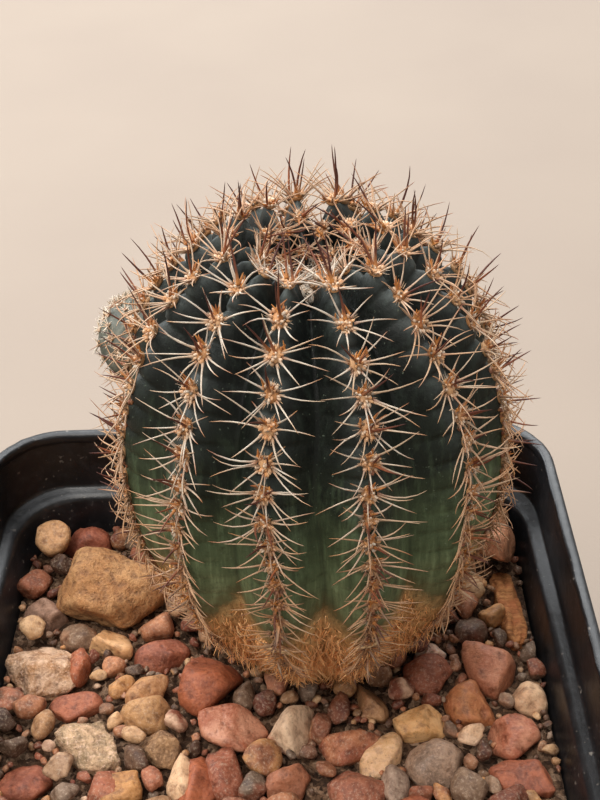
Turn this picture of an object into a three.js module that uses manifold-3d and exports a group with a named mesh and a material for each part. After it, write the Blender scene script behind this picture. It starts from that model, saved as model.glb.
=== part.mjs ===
// A round ribbed cactus in a square black nursery pot, top-dressed with mixed gravel.
// Millimetres, +Z up, origin at the middle of the pot's flat underside, -Y is the front.
import * as THREE from 'three';
import { mergeVertices } from 'three/addons/utils/BufferGeometryUtils.js';
import Module from 'manifold-3d';

const wasm = await Module();
wasm.setup();

// ---------------------------------------------------------------- driving dimensions
const clearance = 0.3;          // gap between pieces that touch

const rimWidth = 90;            // pot, across the rim
const potHeight = 80;
const baseWidth = 64;           // pot, across the underside
const rimCornerRadius = 11.7;
const baseCornerRadius = 7.5;
const lipWidth = 1.7;           // thickened top edge
const lipDepth = 1.4;
const collarWall = 1.35;        // upright band under the lip
const collarDepth = 11.5;
const ledgeWidth = 2.25;        // step where the band meets the tapered wall
const ledgeDrop = 0.9;
const potWall = 1.0;
const potFloor = 1.4;
const drainDiameter = 5.5;
const drainReach = 0.68;        // drain places, as a share of the underside's half width

const soilBelowRim = 28;        // top of the potting soil
const gritDepth = 6;            // layer of fine gravel on the soil
const gravelBelowRim = 16;      // level where the stem leaves the gravel

const stemDiameter = 51.2;      // over the rib crests, at the widest
const stemHeight = 64.8;        // above the gravel
const rootDepth = 19;           // woody root stump below the gravel level
const grooveDepth = 3.8;
const stemOffset = 7.4;         // stem axis, to the right of the pot's middle
const stemBackGap = 2.4;        // stem to the collar behind it, at rim level

const firstAreole = 6;          // height of the lowest areole over the gravel
const areoleSpacing = 6.6;
const areoleWidth = 2.8;
const areoleThickness = 1.2;
const stripWidth = 1.1;         // felt that joins the areoles of a rib
const spineDiameter = 0.6;
const centralSpine = 6.4;
const sideSpine = 4.8;
const crownSpine = 9.0;
const crownDisc = 7.6;

const offsetDiameter = 12.8;    // young offset on the back of the stem
const offsetHeight = 36.8;      // its middle, above the gravel
const offsetSeat = 0.9;         // how far it sits into the stem's outline
const offsetSpine = 2.4;

// Directions are measured from the front, turning towards +X, in degrees.
const ribDirections = [-73, -41, -12.5, 15.7, 48, 77, 105, 134, 160, 185, 207, 229, 258];
const offsetRib = 11;           // the rib that carries the offset

// ---------------------------------------------------------------- heights and half widths
const rimHalf = rimWidth / 2;
const baseHalf = baseWidth / 2;
const ledgeTop = potHeight - collarDepth;
const ledgeFoot = ledgeTop - ledgeDrop;
const collarInner = rimHalf - collarWall;
const wallInnerTop = collarInner - ledgeWidth;
const wallInnerFoot = baseHalf - potWall;
const gravelLevel = potHeight - gravelBelowRim;
const soilTop = potHeight - soilBelowRim;
const gritTop = soilTop + clearance + gritDepth;
const stoneSeat = gritTop + clearance;

const lerp = THREE.MathUtils.lerp;
const radians = THREE.MathUtils.degToRad;

/** Inside half width of the tapered wall at a height. */
function wallInner(z) {
  return lerp(wallInnerFoot, wallInnerTop, (z - potFloor) / (ledgeFoot - potFloor));
}

/** Corner radius of the wall's inside at a height. */
function wallCorner(z) {
  return lerp(baseCornerRadius, rimCornerRadius, z / potHeight) - potWall;
}

// ---------------------------------------------------------------- solids and meshes
/** A geometry's position data only, with shared corners merged and empty triangles dropped. */
function cleaned(geometry) {
  const bare = geometry.clone();
  bare.deleteAttribute('normal');
  bare.deleteAttribute('uv');
  const merged = mergeVertices(bare, 1e-4);
  const kept = [];
  for (let i = 0; i < merged.index.count; i += 3) {
    const corners = [merged.index.getX(i), merged.index.getX(i + 1), merged.index.getX(i + 2)];
    if (new Set(corners).size === 3) kept.push(...corners);
  }
  merged.setIndex(kept);
  return merged;
}

function toManifold(geometry) {
  const shape = cleaned(geometry);
  return new wasm.Manifold(new wasm.Mesh({
    numProp: 3,
    vertProperties: Float32Array.from(shape.attributes.position.array),
    triVerts: Uint32Array.from(shape.index.array),
  }));
}

function toGeometry(manifold) {
  const mesh = manifold.getMesh();
  const shape = new THREE.BufferGeometry();
  shape.setAttribute('position', new THREE.BufferAttribute(mesh.vertProperties, 3));
  shape.setIndex(new THREE.BufferAttribute(mesh.triVerts, 1));
  shape.computeVertexNormals();
  return shape;
}

const object = new THREE.Group();

function addPiece(name, shape, color, roughness) {
  const geometry = shape.isBufferGeometry ? cleaned(shape) : toGeometry(shape);
  geometry.computeVertexNormals();
  const material = new THREE.MeshStandardMaterial({ color, roughness, metalness: 0 });
  const mesh = new THREE.Mesh(geometry, material);
  mesh.name = name;
  object.add(mesh);
}

/**
 * A lathe whose points are moved to place(step, row), so a turned shape can become a
 * rounded square or a ribbed stem. Rows run up the outside and, on a cup, down the inside.
 */
function mappedLathe(rows, steps, place) {
  const profile = rows.map((row) => new THREE.Vector2(row.radius, row.z));
  const shape = new THREE.LatheGeometry(profile, steps);
  for (let step = 0; step <= steps; step += 1) {
    for (let row = 0; row < rows.length; row += 1) {
      const point = place(step % steps, rows[row]);
      shape.attributes.position.setXYZ(step * rows.length + row, point.x, point.y, point.z);
    }
  }
  return shape;
}

/** A cone or bar from one point towards another. */
function rod(from, to, startRadius, endRadius, sides) {
  const length = from.distanceTo(to);
  const shape = endRadius > 0
    ? new THREE.CylinderGeometry(endRadius, startRadius, length, sides)
    : new THREE.ConeGeometry(startRadius, length, sides);
  const along = to.clone().sub(from).normalize();
  shape.applyQuaternion(new THREE.Quaternion().setFromUnitVectors(new THREE.Vector3(0, 1, 0), along));
  const middle = from.clone().add(to).multiplyScalar(0.5);
  return shape.translate(middle.x, middle.y, middle.z);
}

// ---------------------------------------------------------------- square pot
const cornerPoints = 6;
const squareSteps = 4 * cornerPoints;

/** Point number step on a rounded square, counted round from the corner at +X +Y. */
function squarePoint(half, corner, step, z) {
  if (half === 0) return new THREE.Vector3(0, 0, z);
  const quarter = Math.floor(step / cornerPoints);
  const share = (step % cornerPoints) / (cornerPoints - 1);
  const turn = radians(90) * (quarter + share);
  const arcMiddle = half - corner;
  const side = radians(45 + 90 * quarter);
  return new THREE.Vector3(
    Math.sign(Math.cos(side)) * arcMiddle + corner * Math.cos(turn),
    Math.sign(Math.sin(side)) * arcMiddle + corner * Math.sin(turn),
    z,
  );
}

const squareRow = (half, corner, z) => ({ radius: half, corner, z });
const placeOnSquare = (step, row) => squarePoint(row.radius, row.corner, step, row.z);

function nurseryPot() {
  const rimRow = (inset, z) => squareRow(rimHalf - inset, rimCornerRadius - inset, z);
  const rows = [
    squareRow(0, 0, 0),
    squareRow(baseHalf, baseCornerRadius, 0),
    squareRow(wallInnerTop + potWall, wallCorner(ledgeFoot) + potWall, ledgeFoot - potWall),
    rimRow(0, ledgeFoot - potWall / 2),
    rimRow(0, potHeight),
    rimRow(lipWidth, potHeight),
    rimRow(lipWidth, potHeight - lipDepth),
    rimRow(collarWall, potHeight - lipDepth - (lipWidth - collarWall)),
    rimRow(collarWall, ledgeTop),
    squareRow(wallInnerTop, wallCorner(ledgeFoot), ledgeFoot),
    squareRow(wallInnerFoot, wallCorner(potFloor), potFloor),
    squareRow(0, 0, potFloor),
  ];
  let shell = toManifold(mappedLathe(rows, squareSteps, placeOnSquare));
  const reach = baseHalf * drainReach;
  for (const column of [-1, 0, 1]) {
    for (const line of [-1, 0, 1]) {
      if (column === 0 && line === 0) continue;
      const below = new THREE.Vector3(column * reach, line * reach, -potFloor);
      const above = new THREE.Vector3(column * reach, line * reach, 2 * potFloor);
      shell = shell.subtract(toManifold(rod(below, above, drainDiameter / 2, drainDiameter / 2, 12)));
    }
  }
  return shell;
}

// ---------------------------------------------------------------- ribbed stem
const stemCrest = stemDiameter / 2;

// Crest radius (share of the widest) at heights (share of the stem's) from soil to crown.
const stemOutline = [
  [0.000, 0.49], [0.046, 0.58], [0.108, 0.703], [0.185, 0.82], [0.278, 0.918], [0.386, 0.98],
  [0.494, 1.00], [0.617, 0.985], [0.741, 0.92], [0.849, 0.805], [0.926, 0.664], [0.977, 0.52],
  [1.000, 0.398], [0.991, 0.266], [0.963, 0.125], [0.954, 0],
];
const grooveShare = [
  0.1, 0.2, 0.4, 0.62, 0.82, 0.95, 1, 1, 0.95, 0.85, 0.75, 0.65, 0.5, 0.3, 0.1, 0,
];

const stemRows = stemOutline.map(([height, crest], row) => ({
  z: gravelLevel + height * stemHeight,
  radius: crest * stemCrest,
  groove: grooveShare[row] * grooveDepth,
}));

/** Crest radius where the stem passes a height, on its way up to the widest ring of the crown. */
function crestAt(z) {
  const upper = stemRows.findIndex((row) => row.z >= z);
  if (upper <= 0) return stemRows[0].radius;
  const lower = stemRows[upper - 1];
  const share = (z - lower.z) / (stemRows[upper].z - lower.z);
  return lerp(lower.radius, stemRows[upper].radius, share);
}

const stemX = stemOffset;
const stemY = collarInner - crestAt(potHeight) - stemBackGap;

/** Horizontal unit vector of a direction measured from the front. */
function heading(degrees) {
  return new THREE.Vector3(Math.sin(radians(degrees)), -Math.cos(radians(degrees)), 0);
}

const stepsPerRib = 4;
const ribCount = ribDirections.length;

function ribHeading(step) {
  const rib = Math.floor(step / stepsPerRib);
  const share = (step % stepsPerRib) / stepsPerRib;
  const next = rib + 1 < ribCount ? ribDirections[rib + 1] : ribDirections[0] + 360;
  return heading(lerp(ribDirections[rib], next, share));
}

/** The stem and its root stump, grown outwards by swell so that it can cut its own seat. */
function stemSolid(swell) {
  const stump = [[0, 1], [0.2, 0.97], [0.3, 0.72], [0.4, 0.36]].map(([radius, depth]) => ({
    z: gravelLevel - depth * rootDepth,
    radius: radius * stemCrest,
    groove: 0,
  }));
  const rows = [...stump, ...stemRows];
  return toManifold(mappedLathe(rows, stepsPerRib * ribCount, (step, row) => {
    const dip = Math.sin(Math.PI * ((step % stepsPerRib) / stepsPerRib)) ** 2;
    const radius = row.radius === 0 ? 0 : row.radius - row.groove * dip + swell;
    const lift = row.z < gravelLevel - 0.9 * rootDepth ? -swell : 0;
    const point = ribHeading(step).multiplyScalar(radius);
    return new THREE.Vector3(stemX + point.x, stemY + point.y, row.z + lift);
  }));
}

// ---------------------------------------------------------------- rows of areoles and spines
/**
 * Stations along a rib's crest, each with its outward normal. Every other one is an areole,
 * and those between them hold the narrow felt that joins one areole to the next.
 */
function crestStations(rib, lowest, highest) {
  const out = heading(ribDirections[rib]);
  const side = new THREE.Vector3(-out.y, out.x, 0);
  const crest = stemRows
    .filter((row) => row.radius > 0.3 * stemCrest)
    .map((row) => new THREE.Vector3(stemX, stemY, row.z).addScaledVector(out, row.radius));
  const path = new THREE.CurvePath();
  for (let i = 1; i < crest.length; i += 1) path.add(new THREE.LineCurve3(crest[i - 1], crest[i]));
  const count = 2 * Math.floor(path.getLength() / areoleSpacing);
  const stations = [];
  for (let i = 0; i <= count; i += 1) {
    const share = i / count;
    const point = path.getPointAt(share);
    const above = path.getPointAt(Math.min(share + 0.03, 1));
    const below = path.getPointAt(Math.max(share - 0.03, 0));
    const normal = side.clone().cross(above.sub(below)).normalize();
    const height = point.z - gravelLevel;
    if (height >= lowest && height <= highest) {
      stations.push({ point, normal, side, areole: i % 2 === 0 });
    }
  }
  while (!stations[0].areole) stations.shift();
  while (!stations[stations.length - 1].areole) stations.pop();
  return stations;
}

/** The middle of the felt over a station, clear of the skin. */
function feltMiddle({ point, normal }) {
  return point.clone().addScaledVector(normal, clearance + areoleThickness / 2);
}

/** Felt that follows the stations, wide at each areole and narrow between them. */
function feltStrip(stations) {
  const last = stations.length - 1;
  const shape = new THREE.CylinderGeometry(1, 1, 1, 4, last);
  const position = shape.attributes.position;
  for (let i = 0; i < position.count; i += 1) {
    const corner = new THREE.Vector3().fromBufferAttribute(position, i);
    const station = stations[Math.round((corner.y + 0.5) * last)];
    const width = station.areole ? areoleWidth : stripWidth;
    const place = feltMiddle(station)
      .addScaledVector(station.side, corner.x * width / 2)
      .addScaledVector(station.normal, corner.z * areoleThickness / 2);
    position.setXYZ(i, place.x, place.y, place.z);
  }
  return shape;
}

/** Whether a point is clear of the pot's wall, ledge, collar and lip. */
function clearOfPot(point) {
  const reach = Math.max(Math.abs(point.x), Math.abs(point.y)) + 2 * clearance;
  if (point.z > potHeight + 2 * clearance) return true;
  return reach < (point.z > ledgeTop + 2 * clearance ? rimHalf - lipWidth : wallInnerTop);
}

/** A spine from its areole towards a tip, kept short where the pot is in its way. */
function spine(root, tip) {
  let share = 1;
  const along = (part) => root.clone().lerp(tip, part);
  while (share > 0.2 && ![0.5, 0.75, 1].every((part) => clearOfPot(along(part * share)))) share -= 0.1;
  return rod(root, along(share), spineDiameter / 2, 0, 3);
}

const joined = (shapes) => shapes.map(toManifold).reduce((sum, shape) => sum.add(shape));

/** A rib's felt, with a central spine and a spine to each side on every areole, as one body. */
function spineRow(stations, central, reachOf) {
  const pieces = [feltStrip(stations)];
  for (const station of stations.filter(({ areole }) => areole)) {
    const root = feltMiddle(station);
    const lift = new THREE.Vector3(0, 0, 0.45);
    const tip = station.normal.clone().add(lift).normalize().multiplyScalar(central).add(root);
    pieces.push(spine(root, tip));
    const reach = reachOf(station.point);
    for (const hand of [-1, 1]) {
      const lean = station.side.clone().multiplyScalar(hand).addScaledVector(station.normal, 0.6);
      pieces.push(spine(root, lean.normalize().multiplyScalar(reach).add(root)));
    }
  }
  return joined(pieces);
}

/** Side spines stay clear of the next rib's. */
function sideReach(point) {
  const radius = Math.hypot(point.x - stemX, point.y - stemY);
  const ribPitch = 2 * Math.PI * radius / ribCount;
  return Math.min(sideSpine, 0.38 * ribPitch);
}

/** The tuft of young spines that fills the dip of the crown. */
function crownTuft() {
  const dip = stemRows[stemRows.length - 2];
  const seat = new THREE.Vector3(stemX, stemY, dip.z + clearance + areoleThickness / 2);
  const up = new THREE.Vector3(0, 0, 1);
  const disc = new THREE.OctahedronGeometry(1, 1);
  disc.scale(crownDisc / 2, crownDisc / 2, areoleThickness / 2);
  disc.translate(seat.x, seat.y, seat.z);
  const pieces = [disc];
  const spines = 9;
  for (let i = 0; i < spines; i += 1) {
    const out = heading(360 * i / spines + 20);
    const root = seat.clone().addScaledVector(out, 0.16 * crownDisc);
    const length = crownSpine * (0.8 + 0.2 * Math.cos(2.3 * i));
    const tip = root.clone().addScaledVector(out, 0.3 * length).addScaledVector(up, length);
    pieces.push(spine(root, tip));
  }
  return joined(pieces);
}

// ---------------------------------------------------------------- young offset
const offsetRadius = offsetDiameter / 2;
const offsetOut = heading(ribDirections[offsetRib]);
const offsetZ = gravelLevel + offsetHeight;
const offsetReach = crestAt(offsetZ) + offsetRadius - offsetSeat;
const offsetMiddle = new THREE.Vector3(stemX, stemY, offsetZ).addScaledVector(offsetOut, offsetReach);
const offsetAxis = offsetOut.clone().add(new THREE.Vector3(0, 0, 1)).normalize();
const offsetTurn = new THREE.Quaternion().setFromUnitVectors(new THREE.Vector3(0, 0, 1), offsetAxis);
const offsetRibs = 8;

/** A point on the offset's skin: polar angle from its own tip, direction round its axis. */
function offsetPoint(polar, direction, radius) {
  const point = new THREE.Vector3(0, 0, radius * Math.cos(radians(polar)));
  point.addScaledVector(heading(direction), radius * Math.sin(radians(polar)));
  return point.applyQuaternion(offsetTurn).add(offsetMiddle);
}

function offsetBody() {
  const rows = [180, 155, 130, 105, 80, 55, 30, 12, 0].map((polar) => ({
    polar,
    radius: Math.sin(radians(polar)) * offsetRadius,
    z: Math.cos(radians(polar)) * offsetRadius,
  }));
  const steps = offsetRibs * 4;
  const body = mappedLathe(rows, steps, (step, row) => {
    const onAxis = row.polar === 0 || row.polar === 180;
    const dip = onAxis ? 0 : 0.1 * Math.sin(Math.PI * (step % 4) / 4) ** 2;
    return offsetPoint(row.polar, 360 * step / steps, offsetRadius * (1 - dip));
  });
  return toManifold(body).subtract(stemSolid(clearance));
}

function offsetSpines() {
  const arms = [];
  for (let rib = 0; rib < offsetRibs; rib += 2) {
    const direction = 360 * rib / offsetRibs;
    const stations = [60, 30, 0].map((polar, i) => {
      const point = offsetPoint(polar, direction, offsetRadius);
      const normal = point.clone().sub(offsetMiddle).normalize();
      const side = heading(direction + 90).applyQuaternion(offsetTurn);
      return { point, normal, side, areole: i % 2 === 0 };
    });
    arms.push(spineRow(stations, offsetSpine, () => offsetSpine));
  }
  return arms.reduce((sum, arm) => sum.add(arm));
}

// ---------------------------------------------------------------- soil, fine gravel and stones
/** A layer that fills the pot's inside between two heights, with the stem's seat cut out. */
function layer(low, high) {
  const rows = [
    squareRow(0, 0, low),
    squareRow(wallInner(low) - clearance, wallCorner(low) - clearance, low),
    squareRow(wallInner(high) - clearance, wallCorner(high) - clearance, high),
    squareRow(0, 0, high),
  ];
  return toManifold(mappedLathe(rows, squareSteps, placeOnSquare)).subtract(stemSolid(clearance));
}

// Each stone: name, place (share of the gravel's half width, right and back), length, width,
// height, turn in degrees, colour.
const stones = [
  ['ochre_cobble', -0.63, 0.60, 17, 14, 11, 10, '#c8985a'],
  ['cream_pebble', -0.60, 0.36, 7.6, 5.4, 6, -40, '#cfae7c'],
  ['white_rough', -0.86, 0.22, 11, 10, 7.5, 10, '#cdbfa9'],
  ['cream_lichen', -0.63, -0.08, 11.5, 9, 6.5, -10, '#bfae90'],
  ['red_bean', -0.42, 0.30, 8.6, 5.6, 5.5, 15, '#a4573f'],
  ['red_slab', -0.70, 0.06, 8, 4.8, 5, 15, '#b0634a'],
  ['big_red', -0.24, 0.14, 11.5, 8.5, 8.5, 60, '#8f4a36'],
  ['red_oval', -0.13, -0.06, 10.5, 7, 7, -15, '#9c6652'],
  ['tan_wedge', -0.42, 0.12, 8, 5.6, 6, 50, '#b58c5c'],
  ['banded_red', 0.08, -0.07, 8.5, 7, 7, 40, '#b2806a'],
  ['brown_red', 0.07, -0.27, 7.2, 6.6, 6.5, 0, '#9a6a55'],
  ['cream_oval', 0.40, -0.17, 8.4, 5.6, 5.6, 60, '#cbb596'],
  ['tan_oval', 0.40, 0.05, 9, 5, 5.5, -75, '#a98660'],
  ['quartz_chip', 0.60, 0.27, 5.2, 4.6, 5.4, 10, '#ddd6ce'],
  ['ochre_flat', 0.57, -0.02, 9, 6.6, 5.5, -20, '#c1955a'],
  ['grey_clear', 0.57, -0.20, 8.6, 7, 6.5, 20, '#93887b'],
  ['orange_egg', 0.73, 0.08, 7.6, 6.2, 6, -60, '#b9794f'],
  ['pink_cobble', 0.82, 0.23, 10, 7.6, 7.5, -60, '#b67660'],
  ['red_round', 0.84, -0.10, 7.4, 6.4, 6, 30, '#a85c4a'],
  ['red_long', 0.86, -0.28, 9.4, 5.6, 5.5, -15, '#9d5844'],
  ['red_back', -0.78, 0.90, 9, 6, 6, 0, '#a85a48'],
  ['green_grey', 0.84, 0.62, 9, 4.8, 5.5, 75, '#8d8160'],
  ['tan_grain', -0.42, -0.12, 7.4, 6, 5.5, 0, '#a08562'],
  ['red_left', -0.84, -0.26, 7.4, 6.8, 6, 0, '#a2543f'],
  ['grey_pink', -0.90, 0.52, 7.6, 6.2, 6, 0, '#9c8478'],
  ['amber_left', -0.52, -0.30, 7.6, 6.2, 6, 20, '#b98a50'],
  ['red_front_left', -0.26, -0.30, 9.4, 7.2, 6.5, 80, '#a3503a'],
  ['tan_front', -0.74, -0.53, 12, 9, 7, 30, '#b79469'],
  ['cream_front', -0.43, -0.55, 9.6, 8, 6.5, -30, '#cdb897'],
  ['rose_front', -0.12, -0.52, 11, 8.4, 7, 20, '#b2705c'],
  ['ochre_front', 0.17, -0.53, 10.2, 8.2, 6.5, -45, '#c29a60'],
  ['brick_front', 0.47, -0.50, 11.6, 8.6, 7.5, 15, '#9a4c38'],
  ['grey_front', 0.81, -0.56, 10.4, 8.4, 7, 50, '#9b9186'],
  ['brick_corner', -0.70, -0.80, 12, 9.4, 7.5, -40, '#a0523e'],
  ['orange_edge', -0.32, -0.80, 10.4, 8.8, 7, -20, '#b9774c'],
  ['cream_edge', 0.06, -0.82, 11, 8.4, 7, 15, '#cfbd9f'],
  ['red_edge', 0.44, -0.80, 10.2, 8.2, 6.5, -35, '#a65641'],
  ['amber_corner', 0.76, -0.80, 11.4, 8.8, 7, 40, '#bb8c54'],
];
// A flat strip of pine bark among the stones, in the same terms.
const bark = ['bark_chip', 0.93, 0.44, 18, 4.6, 4.6, 88, '#ab7c47'];

const loosePieces = [...stones, bark].map(([name, right, back, length, width, height, turn, color]) => ({
  name, length, width, height, color,
  turn: radians(turn),
  x: right * wallInner(stoneSeat),
  y: back * wallInner(stoneSeat),
}));

/** How far a piece reaches from its middle along a horizontal direction. */
function reachAlong(piece, angle) {
  const turned = angle - piece.turn;
  return Math.hypot(piece.length / 2 * Math.cos(turned), piece.width / 2 * Math.sin(turned));
}

/** Moves a piece back inside the walls; returns how far it had to go. */
function keepInside(piece) {
  const half = wallInner(stoneSeat) - 2 * clearance;
  const corner = wallCorner(stoneSeat) - clearance;
  const before = { x: piece.x, y: piece.y };
  const limitX = half - reachAlong(piece, 0);
  const limitY = half - reachAlong(piece, Math.PI / 2);
  piece.x = THREE.MathUtils.clamp(piece.x, -limitX, limitX);
  piece.y = THREE.MathUtils.clamp(piece.y, -limitY, limitY);
  const arcMiddle = half - corner;
  const overX = Math.abs(piece.x) - arcMiddle;
  const overY = Math.abs(piece.y) - arcMiddle;
  const angle = Math.atan2(Math.sign(piece.y) * overY, Math.sign(piece.x) * overX);
  const excess = Math.hypot(overX, overY) + reachAlong(piece, angle) - corner;
  const nearCorner = overX > -reachAlong(piece, 0) / 2 && overY > -reachAlong(piece, 0) / 2;
  if (nearCorner && overX + overY > 0 && excess > 0) {
    piece.x -= excess * Math.cos(angle);
    piece.y -= excess * Math.sin(angle);
  }
  return Math.hypot(piece.x - before.x, piece.y - before.y);
}

/** Moves a piece away from the stem, whose belly overhangs the gravel. */
function keepOffStem(piece) {
  const angle = Math.atan2(piece.y - stemY, piece.x - stemX);
  const stem = crestAt(stoneSeat + piece.height) + 2 * clearance;
  const away = Math.hypot(piece.x - stemX, piece.y - stemY);
  const push = Math.max(stem + reachAlong(piece, angle) - away, 0);
  piece.x += push * Math.cos(angle);
  piece.y += push * Math.sin(angle);
  return push;
}

/** Moves two pieces apart until a line fits between them. */
function keepApart(first, second) {
  const angle = Math.atan2(second.y - first.y, second.x - first.x);
  const away = Math.hypot(second.x - first.x, second.y - first.y);
  const push = Math.max(reachAlong(first, angle) + reachAlong(second, angle) + clearance - away, 0) / 2;
  first.x -= push * Math.cos(angle);
  first.y -= push * Math.sin(angle);
  second.x += push * Math.cos(angle);
  second.y += push * Math.sin(angle);
  return push;
}

/** Settles the gravel: pieces slide apart, and all are graded finer while they lack room. */
function settle(pieces) {
  for (let grade = 0; grade < 60; grade += 1) {
    for (let pass = 0; pass < 400; pass += 1) {
      let moved = 0;
      for (let i = 0; i < pieces.length; i += 1) {
        for (let j = i + 1; j < pieces.length; j += 1) moved += keepApart(pieces[i], pieces[j]);
      }
      for (const piece of pieces) moved += keepOffStem(piece) + keepInside(piece);
      if (moved < 0.01) return;
    }
    for (const piece of pieces) {
      piece.length *= 0.98;
      piece.width *= 0.98;
    }
  }
}

/** A rounded, slightly lumpy stone with a flat seat. */
function pebble(piece, seed) {
  const shape = new THREE.IcosahedronGeometry(1, 1);
  const position = shape.attributes.position;
  const seatShare = -0.55;
  for (let i = 0; i < position.count; i += 1) {
    const point = new THREE.Vector3().fromBufferAttribute(position, i);
    const lump = Math.sin(2.3 * point.x + seed) * Math.sin(1.9 * point.y + 2 * seed)
      + Math.sin(2.1 * point.z + 3 * seed);
    point.multiplyScalar(0.95 - 0.05 * Math.abs(lump));
    point.z = Math.max(point.z, seatShare);
    position.setXYZ(i, point.x, point.y, point.z);
  }
  const upright = piece.height / (1 - seatShare);
  shape.scale(piece.length / 2, piece.width / 2, upright);
  shape.rotateZ(piece.turn);
  return shape.translate(piece.x, piece.y, stoneSeat - seatShare * upright);
}

// ---------------------------------------------------------------- the assembly
addPiece('square_pot', nurseryPot(), '#15161a', 0.42);
addPiece('potting_soil', layer(potFloor + clearance, soilTop), '#2b211a', 1);
addPiece('fine_gravel', layer(soilTop + clearance, gritTop), '#5e4a3b', 1);
addPiece('cactus_stem', stemSolid(0), '#1f2f26', 0.55);
addPiece('offset_stem', offsetBody(), '#56625a', 0.6);
addPiece('offset_spines', offsetSpines(), '#d9c9b2', 0.7);
addPiece('crown_spines', crownTuft(), '#c9a27a', 0.7);

const rowTop = 1.01 * stemHeight;
const rowGap = offsetRadius + areoleWidth;
for (let rib = 0; rib < ribCount; rib += 1) {
  const label = `rib_${String(rib + 1).padStart(2, '0')}_spines`;
  const spans = rib === offsetRib
    ? [['_lower', firstAreole, offsetHeight - rowGap], ['', offsetHeight + rowGap, rowTop]]
    : [['', firstAreole, rowTop]];
  for (const [suffix, lowest, highest] of spans) {
    const row = spineRow(crestStations(rib, lowest, highest), centralSpine, sideReach);
    addPiece(label + suffix, row, '#cdb491', 0.7);
  }
}

settle(loosePieces);
loosePieces.forEach((piece, i) => {
  const name = piece.name === bark[0] ? piece.name : `stone_${piece.name}`;
  addPiece(name, pebble(piece, i + 1), piece.color, 0.8);
});

export default object;
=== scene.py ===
import math

import bmesh
import bpy
import numpy as np
from mathutils import Matrix, Vector


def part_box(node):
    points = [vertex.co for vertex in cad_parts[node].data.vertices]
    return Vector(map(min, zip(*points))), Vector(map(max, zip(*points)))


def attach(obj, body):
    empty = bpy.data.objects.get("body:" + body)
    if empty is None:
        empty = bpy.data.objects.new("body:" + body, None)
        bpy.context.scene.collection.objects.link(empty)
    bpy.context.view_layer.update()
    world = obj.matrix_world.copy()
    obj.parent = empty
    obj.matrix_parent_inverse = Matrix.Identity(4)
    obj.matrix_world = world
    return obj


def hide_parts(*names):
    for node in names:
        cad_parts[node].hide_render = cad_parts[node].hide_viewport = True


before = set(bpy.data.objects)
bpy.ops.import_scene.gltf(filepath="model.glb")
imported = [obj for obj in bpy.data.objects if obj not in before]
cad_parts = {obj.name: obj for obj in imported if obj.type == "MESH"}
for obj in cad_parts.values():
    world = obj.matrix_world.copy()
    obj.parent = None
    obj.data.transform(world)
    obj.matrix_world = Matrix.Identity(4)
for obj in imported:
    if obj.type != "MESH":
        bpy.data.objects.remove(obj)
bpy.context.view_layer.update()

# A ribbed cactus in a square nursery pot, dressed with mixed gravel.
# Lengths below are in millimetres and become metres when a mesh is made.
MM = 0.001


def box(node):
    """A CAD node's lowest and highest corner, in millimetres."""
    low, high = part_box(node)
    return np.array(low) / MM, np.array(high) / MM


def srgb(code):
    """Linear colour of a six-digit sRGB code."""
    share = np.array(list(bytes.fromhex(code))) / 255
    return np.where(share <= 0.04045, share / 12.92, ((share + 0.055) / 1.055) ** 2.4)


# ------------------------------------------------------------------ meshes
class Batch:
    """Points, faces and point colours that become one object."""

    def __init__(self):
        self.points, self.quads, self.tris, self.tints, self.count = [], [], [], [], 0

    def add(self, points, quads=None, tris=None, tint=(1, 1, 1)):
        points = np.asarray(points, float).reshape(-1, 3)
        if quads is not None and len(quads):
            self.quads.append(np.asarray(quads, int) + self.count)
        if tris is not None and len(tris):
            self.tris.append(np.asarray(tris, int) + self.count)
        self.points.append(points)
        self.tints.append(np.broadcast_to(np.asarray(tint, float), points.shape))
        self.count += len(points)

    def cap(self, ring, middle, tint=(1, 1, 1)):
        """Closes a ring of points already added with a fan round one more point."""
        tip = np.full(len(ring), self.count)
        self.add([middle], tint=tint)
        self.tris.append(np.stack([ring, np.roll(ring, -1), tip], 1))

    def make(self, name, material, replaces=()):
        points = np.concatenate(self.points)
        quads = np.concatenate(self.quads) if self.quads else np.zeros((0, 4), int)
        tris = np.concatenate(self.tris) if self.tris else np.zeros((0, 3), int)
        mesh = bpy.data.meshes.new(name)
        mesh.vertices.add(len(points))
        mesh.vertices.foreach_set("co", (points * MM).astype(np.float32).ravel())
        corners = np.concatenate([quads.ravel(), tris.ravel()])
        starts = np.concatenate([4 * np.arange(len(quads)), quads.size + 3 * np.arange(len(tris))])
        mesh.loops.add(len(corners))
        mesh.loops.foreach_set("vertex_index", corners.astype(np.int32))
        mesh.polygons.add(len(starts))
        mesh.polygons.foreach_set("loop_start", starts.astype(np.int32))
        mesh.update(calc_edges=True)
        mesh.validate()
        mesh.shade_smooth()
        tint = mesh.color_attributes.new("tint", "FLOAT_COLOR", "POINT")
        colours = np.ones((len(points), 4), np.float32)
        colours[:, :3] = np.concatenate(self.tints)
        tint.data.foreach_set("color", colours.ravel())
        piece = bpy.data.objects.new(name, mesh)
        bpy.context.scene.collection.objects.link(piece)
        piece.data.materials.append(material)
        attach(piece, "root")
        if replaces:
            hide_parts(*replaces)
        return piece


def grid_quads(rows, columns):
    """Faces of a grid of points, row by row, closed round its columns."""
    row, column = np.meshgrid(np.arange(rows - 1), np.arange(columns), indexing="ij")
    here, there = column.ravel(), (column.ravel() + 1) % columns
    base = row.ravel() * columns
    return np.stack([base + here, base + there, base + columns + there, base + columns + here], 1)


def wavy(points, size, seed, terms=20):
    """Smooth noise of about one, with features of a size."""
    rng = np.random.default_rng(seed)
    waves = rng.normal(size=(terms, 3)) * (2.2 / size)
    phases = rng.uniform(0, 2 * math.pi, terms)
    return np.sin(np.asarray(points) @ waves.T + phases).sum(-1) / math.sqrt(terms / 2)


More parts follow.
